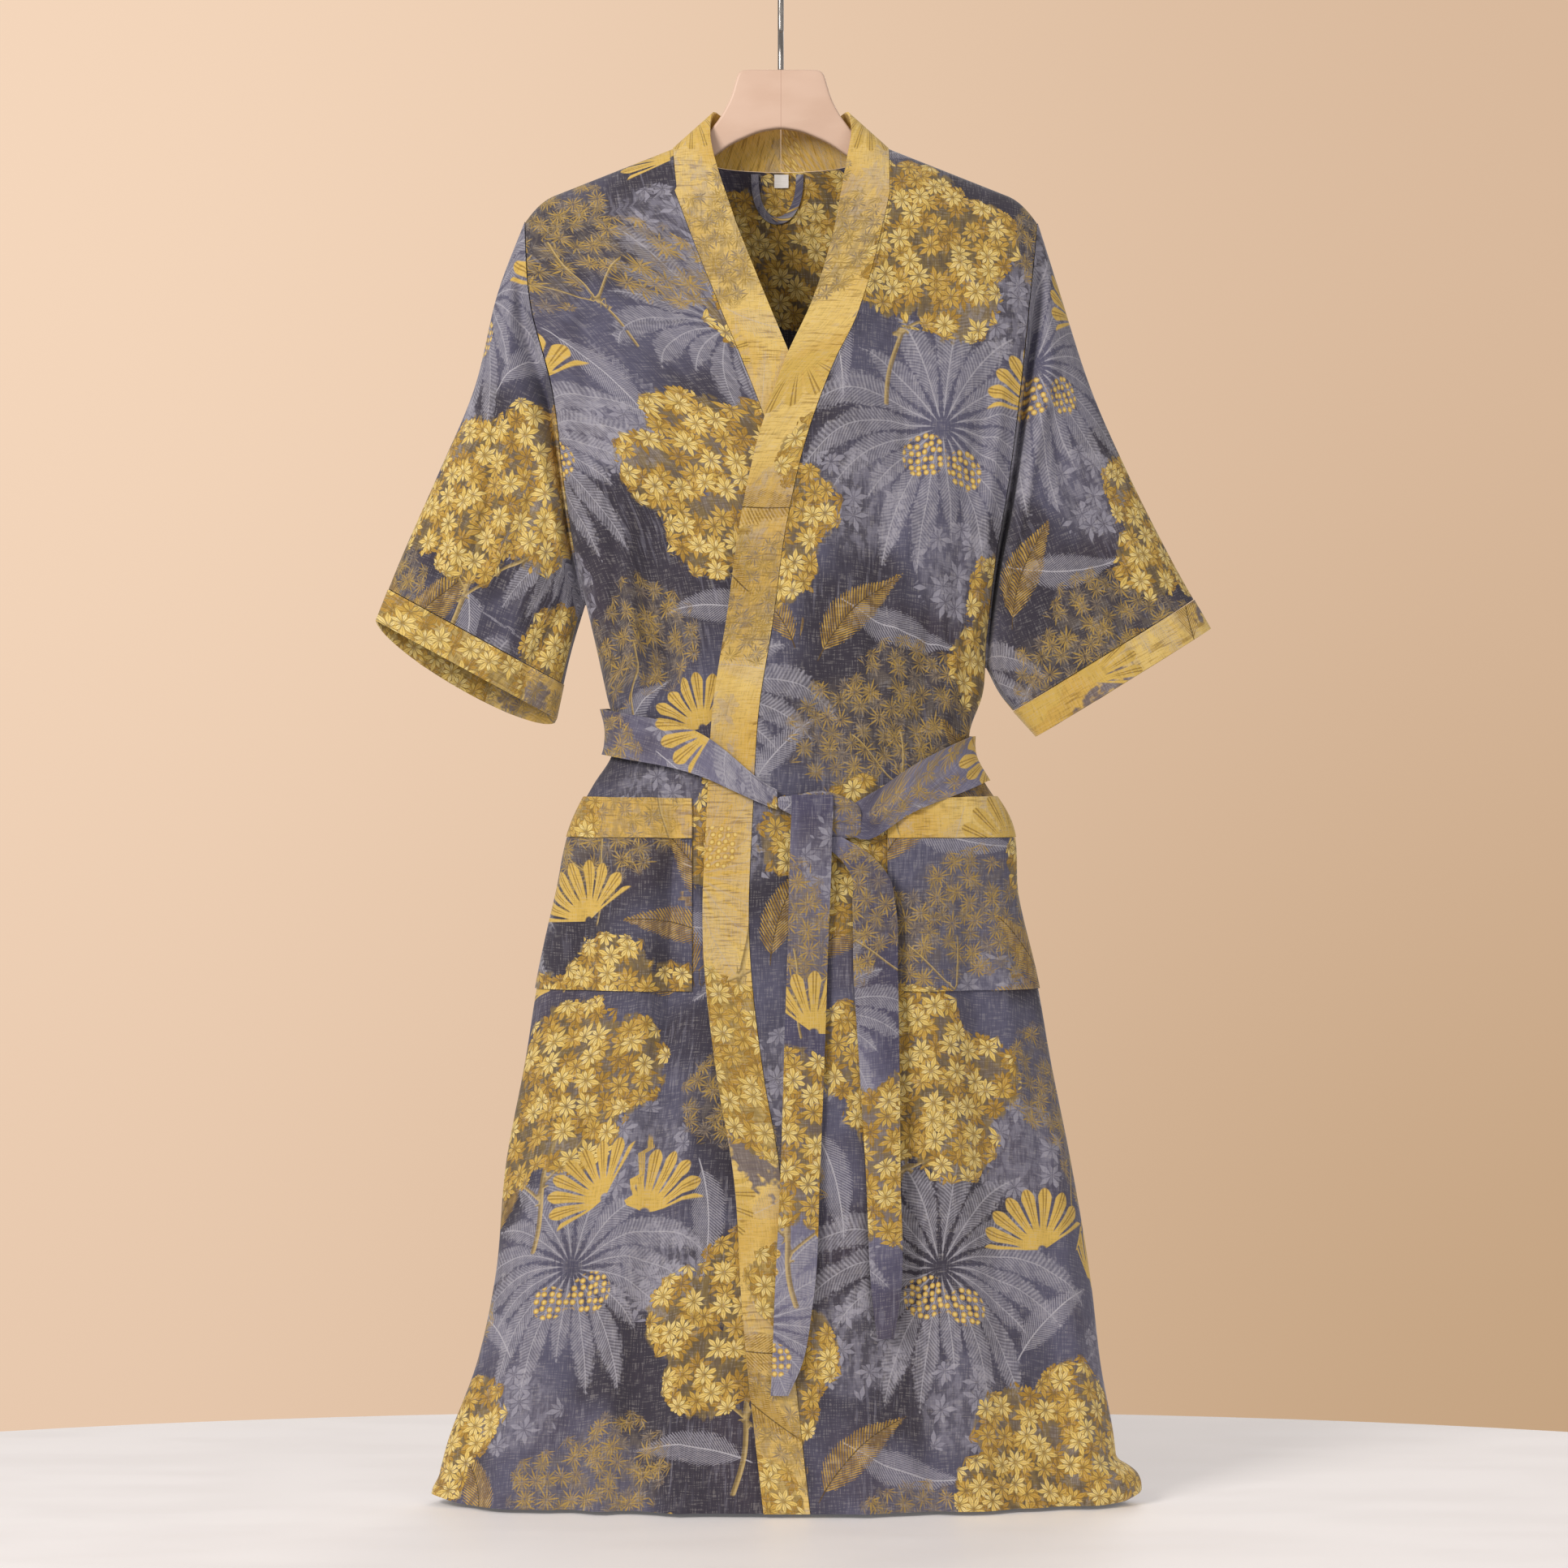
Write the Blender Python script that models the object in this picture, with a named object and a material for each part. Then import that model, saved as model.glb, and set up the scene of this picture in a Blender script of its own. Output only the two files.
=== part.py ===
"""Kimono robe hanging on its hanger, at real size.

The origin is the place inside the hook where a rail bears. +X is to the right seen from the
front, the front of the robe faces -Y and +Z is up. Sizes are in millimetres until a mesh is made.

The cloth is a thin wall on one body surface. A point of that surface has an x, and a level that
runs from 0 on the shoulder ridge over 1 at the underarm to 2 at the hem. Every panel, band,
pocket and belt is a grid of such points, moved out or in along its normals.
"""
import math
from collections import namedtuple

import bpy
import numpy as np

MM = 0.001
WALL = 1.2
SEAM = 0.4
ARMHOLE_SEAM = 0.9
CUFF_SEAM = 0.8

RIDGE_NEAR_X = 85.0
RIDGE_NEAR_Z = -147.0
RIDGE_SLOPE = 0.395
RIDGE_TURN_X = 190.0
RIDGE_TURN = 0.022
RIDGE_ROUND = 115.0
NECK_SIDE_X = 90.0
NECK_BACK_Z = -164.0
NECK_BACK_RISE = 15.0

UNDERARM_Z = -557.0
UNDERARM_TILT = 26.0
UNDERARM_X = 165.0
TILT_ENDS = 0.10
HEM_Z = -1280.0

BAND_WIDTH = 38.0
BAND_THICK = 1.8
BAND_PROUD = 0.6
LAYER = 2.6
LAYER_FULL_X = 66.0
LAYER_ENDS_X = 88.0

CUFF_DEPTH = 28.5
CUFF_WALL = 1.8

POCKET_INNER_LEFT = -73.0
POCKET_INNER_RIGHT = 88.0
POCKET_LEVELS = (1.188, 1.234, 1.408)
POCKET_GAP = 0.4
POCKET_WALL = 1.2
POCKET_BAND_WALL = 2.0

BELT_HALF = 19.0
BELT_WALL = 1.6
BELT_OFF_FRONT = 4.2
BELT_OFF_BACK = 2.0
BELT_RISE = 3.2
BELT_RISE_RUN = 22.0

HANGER_HALF = 5.0
HANGER_CHAMFER = 1.6
WIRE = 5.0
HOOK_INNER = 18.0

CHEST_LEVELS = (0, 0.006, 0.02, 0.045, 0.09, 0.16, 0.25, 0.36, 0.48, 0.60, 0.72, 0.84, 0.93, 1)
SKIRT_LEVELS = (1.035, 1.07, 1.098, 1.118, 1.138, 1.16, 1.188, 1.234, 1.29, 1.35, 1.408, 1.46, 1.52, 1.58,
                1.64, 1.70, 1.76, 1.82, 1.88, 1.935, 1.97, 2)
LEVELS = np.array(CHEST_LEVELS + SKIRT_LEVELS)
UNDERARM_ROW = len(CHEST_LEVELS) - 1
BACK_COLUMNS = (6, 5, 5, 6)
BACK_GUIDE_FLARE = 45.0
FRONT_COLUMNS = (4, 7)
SLEEVE_STATIONS = (0, 0.07, 0.17, 0.30, 0.44, 0.58, 0.72, 0.86, 1)

# The side line of the body at each height: the armhole down to the underarm, then the side seam.
Side = namedtuple("Side", "z left right")
SIDES = (
    Side(-205, -214, 215), Side(-285, -207, 206), Side(-351, -190, 199), Side(-432, -180, 189),
    Side(-500, -170, 178), Side(-560, -156, 172), Side(-606, -146, 169), Side(-640, -139, 158),
    Side(-658, -142, 159), Side(-680, -156, 171), Side(-708, -171, 189), Side(-776, -188, 198),
    Side(-844, -203, 214), Side(-912, -214, 226), Side(-997, -230, 243), Side(-1099, -240, 260),
    Side(-1167, -255, 268), Side(-1235, -280, 280), Side(-1281, -291, 283),
)

# How far the cloth stands before and behind the middle plane, at each level. The edge is that
# depth at the armhole, and the reach is how far round the section has turned there, in degrees.
Depth = namedtuple("Depth", "level front back edge reach")
DEPTHS = (
    Depth(0, 44, 36, 30, 52), Depth(0.3, 46, 39, 30, 54), Depth(0.6, 48, 41, 27, 60),
    Depth(0.85, 50, 43, 17, 74), Depth(1, 50, 43, 0, 90), Depth(1.14, 45, 38, 0, 90),
    Depth(1.25, 51, 43, 0, 90), Depth(1.6, 60, 50, 0, 90), Depth(2, 66, 56, 0, 90),
)

# The free edge of the neckband down each front.
Edge = namedtuple("Edge", "z left right")
FREE_EDGES = (
    Edge(-187, -48, 52), Edge(-214, -38, 46), Edge(-284, -10, 25), Edge(-325, 7, 6),
    Edge(-380, 27, -14), Edge(-461, 42, -33), Edge(-540, 52, -44), Edge(-616, 59, -56),
    Edge(-700, 62, -61), Edge(-810, 62, -64), Edge(-925, 55, -52), Edge(-1000, 50, -39),
    Edge(-1107, 46, -32), Edge(-1210, 42, -22), Edge(-1281, 40, -14),
)

# The free edge of the neckband round the neck, from the front over the shoulder to the back.
Neck = namedtuple("Neck", "share x y z")
NECK_EDGE = (
    Neck(0.16, 55, -22, -160), Neck(0.30, 59, -11, -135), Neck(0.42, 57, 1, -119),
    Neck(0.60, 47, 12, -121), Neck(0.80, 26, 20, -125), Neck(1, 0.3, 22, -126),
)
NECK_STARTS_Z = -215.0

# The top fold of each sleeve from the shoulder to the cuff's edge, and the underarm beside it.
SleeveLine = namedtuple("SleeveLine", "share x z")
SLEEVE_TOPS = {
    -1: (SleeveLine(0, -214, -212), SleeveLine(0.14, -235, -266), SleeveLine(0.36, -257, -351),
         SleeveLine(0.55, -286, -419), SleeveLine(0.75, -316, -487), SleeveLine(1, -339, -544)),
    1: (SleeveLine(0, 215, -213), SleeveLine(0.14, 232, -266), SleeveLine(0.36, 260, -351),
        SleeveLine(0.55, 290, -419), SleeveLine(0.75, 324, -487), SleeveLine(1, 360, -551)),
}
SLEEVE_UNDERS = {
    -1: (SleeveLine(0, -163, -531), SleeveLine(0.5, -176, -572), SleeveLine(1, -188, -626)),
    1: (SleeveLine(0, 171, -583), SleeveLine(0.5, 186, -609), SleeveLine(1, 214, -641)),
}
SLEEVE_DEPTHS = ((0, 28), (0.4, 30), (1, 27))
CUFF_TILT = {-1: 20.0, 1: 2.0}

# The largest folds: a soft ridge or trough along a line from its top to its foot.
Fold = namedtuple("Fold", "face x_top z_top x_low z_low width depth")
FOLDS = (
    Fold(-1, -150, -330, -122, -690, 15, 7), Fold(-1, -112, -430, -92, -650, 15, -9),
    Fold(-1, -176, -300, -146, -600, 13, 6), Fold(-1, 176, -330, 146, -640, 13, -7),
    Fold(-1, 150, -300, 120, -560, 20, 5), Fold(-1, -118, -690, -140, -900, 22, 6),
    Fold(-1, -178, -880, -235, -1290, 22, 8), Fold(-1, -98, -860, -128, -1290, 24, -8),
    Fold(-1, 120, -700, 165, -1290, 26, 7), Fold(-1, 196, -900, 232, -1290, 20, -7),
    Fold(1, -120, -250, -95, -640, 22, 7), Fold(1, 0, -330, 5, -650, 26, -8),
    Fold(1, 118, -260, 92, -640, 22, 7), Fold(1, -70, -680, -110, -1290, 34, 11),
    Fold(1, 15, -690, 10, -1290, 30, -9), Fold(1, 100, -680, 150, -1290, 34, 11),
    Fold(1, -165, -720, -215, -1290, 26, -8), Fold(1, 185, -740, 235, -1290, 24, -8),
)
FOLD_FADE = 0.22

# The middle line of the belt round the waist, front stretches first.
BeltLine = namedtuple("BeltLine", "x z")
BELT_LEFT = (BeltLine(-139, -638), BeltLine(-65, -657), BeltLine(-2.8, -694))
BELT_RIGHT = (BeltLine(158, -660), BeltLine(115, -680), BeltLine(66.8, -703))
BELT_BACK_SAG = 6.0
BELT_PRESS = (24.0, 40.0)
BELT_STATIONS = (13, 22, 9)

# The belt's tails: the left and right edge of the strip at each height.
Tail = namedtuple("Tail", "z left right off")
TAIL_FRONT = (
    Tail(-690, 9, 43, 13.8), Tail(-698, 9, 43, 14.5), Tail(-724, 8, 42, 14.2), Tail(-760, 7, 41, 11),
    Tail(-806, 6, 39, 9), Tail(-900, 3, 36, 8), Tail(-1000, 0, 32, 8), Tail(-1108, -5, 26, 8),
    Tail(-1160, -7, 16, 8), Tail(-1182, -8, 6, 8),
)
TAIL_SIDE = (
    Tail(-724.5, 24, 50, 7.8), Tail(-738, 44, 72, 7.8), Tail(-756, 58, 88, 7), Tail(-780, 59, 94, 7),
    Tail(-838, 60, 96, 6.5),
    Tail(-900, 64, 97, 6.5), Tail(-1000, 70, 98, 6.5), Tail(-1108, 76, 97, 6.5),
    Tail(-1136, 80, 92, 6.5),
)
TAIL_WALL = 1.5

Knot = namedtuple("Knot", "x z half_x half_y half_z off")
KNOT = Knot(32, -706, 34.3, 5, 18.5, 8.5)

COLOURS = {
    "cloth": ((0.115, 0.107, 0.150, 1), 0.9, 0.0),
    "trim": ((0.58, 0.36, 0.075, 1), 0.9, 0.0),
    "label": ((0.80, 0.80, 0.78, 1), 0.8, 0.0),
    "hanger": ((0.77, 0.53, 0.38, 1), 0.45, 0.0),
    "steel": ((0.42, 0.41, 0.40, 1), 0.3, 1.0),
}


def smooth(share):
    """Rise from 0 to 1 with level ends."""
    share = np.clip(share, 0, 1)
    return share * share * (3 - 2 * share)


def through(rows, at):
    """Run a smooth curve through (place, value, ...) rows and read it at each place."""
    rows = np.array(rows, dtype=float)
    rows = rows[np.argsort(rows[:, 0])]
    place = rows[:, 0]
    slope = np.gradient(rows[:, 1:], place, axis=0)
    at = np.clip(np.asarray(at, dtype=float), place[0], place[-1])
    low = np.clip(np.searchsorted(place, at, side="right") - 1, 0, len(place) - 2)
    span = (place[low + 1] - place[low])[..., None]
    s = (at - place[low])[..., None] / span
    start = rows[low, 1:] * (1 + 2 * s) * (1 - s) ** 2 + slope[low] * span * s * (1 - s) ** 2
    end = rows[low + 1, 1:] * s * s * (3 - 2 * s) + slope[low + 1] * span * s * s * (s - 1)
    value = start + end
    return value[..., 0] if value.shape[-1] == 1 else value


def column(table, name, at, key=None):
    """Read one named column of a table, at places along its key column."""
    key = key or table[0]._fields[0]
    return through([(getattr(row, key), getattr(row, name)) for row in table], at)


def ridge(x):
    """Height of the shoulder ridge, carried on over the neck and dropping past the shoulder."""
    far = np.maximum(np.abs(x) - RIDGE_TURN_X, 0)
    return RIDGE_NEAR_Z - RIDGE_SLOPE * (np.abs(x) - RIDGE_NEAR_X) - RIDGE_TURN * far ** 2


def top_line(x, face):
    """Height where a panel starts: the ridge, or the neckline cut in the back."""
    if face < 0:
        return ridge(x)
    share = np.abs(x) / NECK_SIDE_X
    neckline = NECK_BACK_Z + NECK_BACK_RISE * share ** 3
    return np.where(share < 1, np.minimum(neckline, ridge(x)), ridge(x))


def height(x, level, face):
    """Height of a level at x: it follows the shoulder at the top and turns level below it."""
    tilt = -UNDERARM_TILT * x / UNDERARM_X
    top = top_line(x, face)
    below = np.clip(level - 1, 0, 1)
    chest = top + (UNDERARM_Z + tilt - top) * np.clip(level, 0, 1)
    skirt = UNDERARM_Z + (HEM_Z - UNDERARM_Z) * below + tilt * (1 - smooth(below / TILT_ENDS))
    return np.where(level <= 1, chest, skirt)


def level_of(z):
    """Level of a height below the waist's start, where levels lie flat."""
    return 1 + (z - UNDERARM_Z) / (HEM_Z - UNDERARM_Z)


def belt_line(x, face):
    """Height of the belt's middle line at x."""
    x = np.asarray(x, dtype=float)
    ends = BELT_LEFT[0], BELT_RIGHT[0]
    if face < 0:
        return column(BELT_LEFT + BELT_RIGHT, "z", x)
    share = np.clip((x - ends[0].x) / (ends[1].x - ends[0].x), 0, 1)
    return ends[0].z + (ends[1].z - ends[0].z) * share - BELT_BACK_SAG * np.sin(math.pi * share)


def folds(x, z, face):
    """Outward displacement of the cloth by its folds, which the belt presses flat."""
    total = np.zeros(np.broadcast(x, z).shape)
    pressed = smooth((np.abs(z - belt_line(x, face)) - BELT_PRESS[0]) / BELT_PRESS[1])
    for fold in FOLDS:
        if fold.face == face:
            run = (fold.z_top - z) / (fold.z_top - fold.z_low)
            middle = fold.x_top + (fold.x_low - fold.x_top) * run
            fade = smooth(run / FOLD_FADE) * smooth((1.0 - run) / FOLD_FADE + 0.6)
            total += fold.depth * fade * np.exp(-((x - middle) / fold.width) ** 2)
    return total * pressed


def body(x, level, face, lift=0.0, folded=True):
    """Points of the robe's outer surface on the front (face -1) or the back (face 1)."""
    x = np.asarray(x, dtype=float)
    level = np.broadcast_to(np.asarray(level, dtype=float), x.shape)
    z = height(x, level, face)
    left, right = column(SIDES, "left", z), column(SIDES, "right", z)
    turn = np.clip((2 * x - left - right) / (right - left), -1, 1)
    reach = np.radians(column(DEPTHS, "reach", level))
    edge = np.clip(column(DEPTHS, "edge", level), 0, None)
    depth = column(DEPTHS, "front" if face < 0 else "back", level)
    bow = np.sqrt(1 - (turn * np.sin(reach)) ** 2) - np.cos(reach)
    bow = np.clip(bow / (1 - np.cos(reach)), 0, 1)
    drop = np.clip((ridge(x) - z) / RIDGE_ROUND, 0, 1)
    out = (edge + (depth - edge) * bow) * np.sqrt(1 - (1 - drop) ** 2)
    if folded:
        out = out + folds(x, z, face) * np.sqrt(bow) * smooth(drop * 3)
    return np.stack([x, face * (SEAM / 2 + out + lift), z], axis=-1)


def at_height(line, level, face, start):
    """Find x on a level where it meets a line given by height."""
    x = np.full(np.shape(level), float(start))
    for _ in range(12):
        x = line(height(x, level, face))
    return x


def side_x(side, level, face):
    """x of the armhole and side seam at each level."""
    name = "left" if side < 0 else "right"
    return at_height(lambda z: column(SIDES, name, z), level, face, 180 * side)


def seam_x(side, level):
    """x of the seam between a front and its band, at each level."""
    def line(z):
        name = "left" if side < 0 else "right"
        free = column(FREE_EDGES, name, z)
        slope = (column(FREE_EDGES, name, z + 2) - column(FREE_EDGES, name, z - 2)) / 4
        beyond = np.maximum(z - FREE_EDGES[0].z, 0)
        seam = free + side * BAND_WIDTH * np.sqrt(1 + slope ** 2)
        return seam + (side * NECK_SIDE_X - seam) * np.clip(beyond / 38, 0, 1)
    return at_height(line, level, -1, NECK_SIDE_X * side)


def spread(start, end, count, left, right, reach):
    """x at equal turns round the section from one line to another, one row for each level."""
    middle, half = (left + right) / 2, (right - left) / 2
    first = np.arcsin(np.clip((start - middle) / half * np.sin(reach), -1, 1))
    last = np.arcsin(np.clip((end - middle) / half * np.sin(reach), -1, 1))
    share = np.linspace(0, 1, count + 1)
    turn = first[:, None] + (last - first)[:, None] * share
    return middle[:, None] + half[:, None] * np.sin(turn) / np.sin(reach)[:, None]


def grid_normals(points, toward, wrap=False):
    """Unit normals of a grid, turned to the side that `toward` points to."""
    if wrap:
        points = np.concatenate([points[:, -1:], points, points[:, :1]], axis=1)
    across = np.gradient(points, axis=1)
    along = np.gradient(points, axis=0)
    normals = np.cross(across, along)
    if wrap:
        normals = normals[:, 1:-1]
    normals /= np.maximum(np.linalg.norm(normals, axis=-1, keepdims=True), 1e-9)
    if np.sum(normals * toward) < 0:
        normals = -normals
    return normals


def level_out(normals, rows=slice(None), columns=slice(None)):
    """Take the front-to-back lean out of the normals along a seam that front and back share."""
    normals[rows, columns, 1] = 0
    normals[rows, columns] /= np.linalg.norm(normals[rows, columns], axis=-1, keepdims=True)


def material(name):
    """The named finish, made once."""
    found = bpy.data.materials.get(name)
    if found:
        return found
    colour, roughness, metallic = COLOURS[name]
    made = bpy.data.materials.new(name)
    made.use_nodes = True
    shader = made.node_tree.nodes["Principled BSDF"]
    shader.inputs["Base Color"].default_value = colour
    shader.inputs["Roughness"].default_value = roughness
    shader.inputs["Metallic"].default_value = metallic
    made.diffuse_color = colour
    return made


def add_mesh(name, points, triangles, finish):
    """Make an object from points in millimetres, with its faces pointing out."""
    points = np.asarray(points, dtype=float)
    triangles = np.asarray(triangles)
    corners = points[triangles]
    volume = np.einsum("ij,ij->", corners[:, 0], np.cross(corners[:, 1], corners[:, 2]))
    if volume < 0:
        triangles = triangles[:, ::-1]
    mesh = bpy.data.meshes.new(name)
    mesh.from_pydata((points * MM).tolist(), [], triangles.tolist())
    mesh.update()
    mesh.materials.append(material(finish))
    mesh.shade_smooth()
    mesh.set_sharp_from_angle(angle=math.radians(40))
    made = bpy.data.objects.new(name, mesh)
    bpy.context.scene.collection.objects.link(made)
    return made


def grid_triangles(rows, columns, wrap):
    """Two triangles for each cell of a grid, all split the same way."""
    index = np.arange(rows * columns).reshape(rows, columns)
    if wrap:
        index = np.concatenate([index, index[:, :1]], axis=1)
    a, b = index[:-1, :-1].ravel(), index[:-1, 1:].ravel()
    c, d = index[1:, 1:].ravel(), index[1:, :-1].ravel()
    return np.concatenate([np.stack([a, b, c], axis=1), np.stack([a, c, d], axis=1)])


def wall(name, outer, inner, finish, wrap=False):
    """A closed cloth wall between two grids of the same shape."""
    rows, columns = outer.shape[:2]
    count = rows * columns
    face = grid_triangles(rows, columns, wrap)
    index = np.arange(count).reshape(rows, columns)
    if wrap:
        rims = [np.append(index[0], index[0, 0]), np.append(index[-1], index[-1, 0])[::-1]]
    else:
        rims = [np.concatenate([index[0], index[1:, -1], index[-1, -2::-1], index[-2::-1, 0]])]
    parts = [face, face[:, ::-1] + count]
    for rim in rims:
        a, b = rim[:-1], rim[1:]
        parts.append(np.stack([b, a, a + count], axis=1))
        parts.append(np.stack([b, a + count, b + count], axis=1))
    points = np.concatenate([outer.reshape(-1, 3), inner.reshape(-1, 3)])
    return add_mesh(name, points, np.concatenate(parts), finish)


def layer(name, points, normals, low, high, finish, wrap=False):
    """A cloth wall whose inner and outer faces lie at two distances from a grid."""
    return wall(name, points + normals * high, points + normals * low, finish, wrap)


def front_grid(side):
    """Grid of one front panel, from its band seam over the pocket's inner line to the side."""
    seam = seam_x(side, LEVELS) + side * SEAM
    edge = side_x(side, LEVELS, -1)
    pocket = POCKET_INNER_LEFT if side < 0 else POCKET_INNER_RIGHT
    pocket_line = np.full(LEVELS.shape, pocket)
    share = FRONT_COLUMNS[0] / sum(FRONT_COLUMNS)
    crowded = side * (pocket_line - seam) < 24
    pocket_line = np.where(crowded, seam + (edge - seam) * share, pocket_line)
    pocket_line = seam + (edge - seam) * through(
        list(zip(LEVELS, (pocket_line - seam) / (edge - seam))), LEVELS)
    left, right = side_x(-1, LEVELS, -1), side_x(1, LEVELS, -1)
    reach = np.radians(column(DEPTHS, "reach", LEVELS))
    inner = spread(seam, pocket_line, FRONT_COLUMNS[0], left, right, reach)
    outer = spread(pocket_line, edge, FRONT_COLUMNS[1], left, right, reach)
    x = np.concatenate([inner, outer[:, 1:]], axis=1)
    lift = LAYER * (1 - smooth((x - LAYER_FULL_X) / (LAYER_ENDS_X - LAYER_FULL_X)))
    points = body(x, LEVELS[:, None], -1, lift if side > 0 else 0.0)
    if side < 0:
        plain = body(x, LEVELS[:, None], -1, folded=False)
        shown = smooth((-58 - x) / 14)[..., None]
        points = plain + (points - plain) * shown
    normals = grid_normals(points, (0, -1, 0))
    level_out(normals, rows=slice(0, 1))
    level_out(normals, rows=slice(UNDERARM_ROW, None), columns=slice(-1, None))
    return points, normals


def back_grid():
    """Grid of the back panel, side to side."""
    left, right = side_x(-1, LEVELS, 1), side_x(1, LEVELS, 1)
    reach = np.radians(column(DEPTHS, "reach", LEVELS))
    guide = NECK_SIDE_X + BACK_GUIDE_FLARE * smooth(LEVELS - 1)
    lines = (left, -guide, np.zeros(LEVELS.shape), guide, right)
    x = left[:, None]
    for start, end, count in zip(lines[:-1], lines[1:], BACK_COLUMNS):
        x = np.concatenate([x, spread(start, end, count, left, right, reach)[:, 1:]], axis=1)
    x[:, BACK_COLUMNS[0]] = -guide
    x[:, -1 - BACK_COLUMNS[-1]] = guide
    neck = np.abs(x[0]) < NECK_SIDE_X - 1
    points = body(x, LEVELS[:, None], 1)
    normals = grid_normals(points, (0, 1, 0))
    level_out(normals, rows=slice(0, 1), columns=np.flatnonzero(~neck))
    for edge in (slice(0, 1), slice(-1, None)):
        level_out(normals, rows=slice(UNDERARM_ROW, None), columns=edge)
    return points, normals


def sleeve_ring(side, front, back):
    """The armhole's points and normals: down the front edge and up the back edge."""
    rows = slice(0, UNDERARM_ROW + 1)
    back_column = 0 if side < 0 else -1
    fronts, front_normals = front[0][rows, -1], front[1][rows, -1]
    backs, back_normals = back[0][rows, back_column], back[1][rows, back_column]
    ring = np.concatenate([fronts, backs[-2:0:-1]])
    normals = np.concatenate([front_normals, back_normals[-2:0:-1]])
    for end, mate in ((0, 0), (UNDERARM_ROW, -1)):
        ring[end] = (fronts[mate] + backs[mate]) / 2
        normals[end] = front_normals[mate] + back_normals[mate]
        normals[end] /= np.linalg.norm(normals[end])
    return ring, normals


def sleeve_points(side, ring, stations):
    """Rings of a sleeve at shares of its length, one row for a ring and one share for each point."""
    level = np.concatenate([CHEST_LEVELS, CHEST_LEVELS[-2:0:-1]])
    face = np.concatenate([-np.ones(UNDERARM_ROW + 1), np.ones(UNDERARM_ROW - 1)])
    round_share = 2 * np.sqrt(level * (1 - level))

    def loose(share):
        top = through(SLEEVE_TOPS[side], share)
        under = through(SLEEVE_UNDERS[side], share)
        depth = through(SLEEVE_DEPTHS, share)
        points = np.zeros(share.shape + (3,))
        points[..., 0] = top[..., 0] + (under[..., 0] - top[..., 0]) * level
        points[..., 1] = face * depth * round_share
        points[..., 2] = top[..., 1] + (under[..., 1] - top[..., 1]) * level
        points[..., 2] -= CUFF_TILT[side] * share ** 2 * np.where(face > 0, round_share, 0)
        return points

    away = ring + np.array([side * ARMHOLE_SEAM, 0, 0]) - loose(np.zeros((1, len(level))))
    return loose(stations) + away * (1 - smooth(stations / 0.5))[..., None]


def share_above_edge(side, ring, depth):
    """Share of the length, on each line down the sleeve, that lies a depth above the cuff's edge.

    The depth is measured square to the edge, so that the cuff is even all round.
    """
    shares = np.linspace(0.3, 1, 71)
    lines = sleeve_points(side, ring, np.repeat(shares[:, None], len(ring), axis=1))
    edge = through(SLEEVE_TOPS[side], 1.0) - through(SLEEVE_UNDERS[side], 1.0)
    edge = edge / np.linalg.norm(edge)
    to_edge = lines - lines[-1]
    far = np.abs(to_edge[..., 0] * edge[1] - to_edge[..., 2] * edge[0])
    row = len(shares) - 1 - np.argmax(far[::-1] > depth, axis=0)
    line = np.arange(len(ring))
    part = (far[row, line] - depth) / (far[row, line] - far[row + 1, line])
    return shares[row] + part * (shares[1] - shares[0])


def add_sleeve(side, word, front, back):
    """A sleeve and its cuff."""
    ring, ring_normals = sleeve_ring(side, front, back)
    start = share_above_edge(side, ring, CUFF_DEPTH)
    outward = np.array([side, 0, 0])
    points = sleeve_points(side, ring, np.array(SLEEVE_STATIONS)[:, None] * start)
    middle = points.mean(axis=1, keepdims=True)
    normals = grid_normals(points, points - middle, wrap=True)
    normals[0] = ring_normals - 0.1 * outward
    normals[0] /= np.linalg.norm(normals[0], axis=-1, keepdims=True)
    layer("sleeve_" + word, points, normals, -WALL, 0, "cloth", wrap=True)
    start = share_above_edge(side, ring, CUFF_DEPTH - CUFF_SEAM)
    points = sleeve_points(side, ring, np.linspace(start, np.ones(len(ring)), 3))
    middle = points.mean(axis=1, keepdims=True)
    cuff_normals = grid_normals(points, points - middle, wrap=True)
    cuff_normals[0] = normals[-1]
    layer("cuff_" + word, points, cuff_normals, BAND_PROUD - CUFF_WALL, BAND_PROUD, "trim",
          wrap=True)


def neck_stations(side, front, back):
    """Seam points and normals of a band's neck stretch, over the ridge to the centre back."""
    seam = front[0][:, 0]
    first = int(np.flatnonzero(seam[:, 2] > NECK_STARTS_Z)[-1])
    centre = BACK_COLUMNS[0] + BACK_COLUMNS[1]
    columns = np.arange(1, BACK_COLUMNS[1] + 1) if side < 0 else -np.arange(1, BACK_COLUMNS[1] + 1)
    columns = (BACK_COLUMNS[0] if side < 0 else centre + BACK_COLUMNS[2]) + columns
    neckline = back[0][0, columns].copy()
    neckline[-1, 0] = side * SEAM / 2
    ring = np.concatenate([seam[first::-1], neckline])
    normals = np.concatenate([front[1][first::-1, 0], back[1][0, columns]])
    return first, ring, normals


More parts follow.
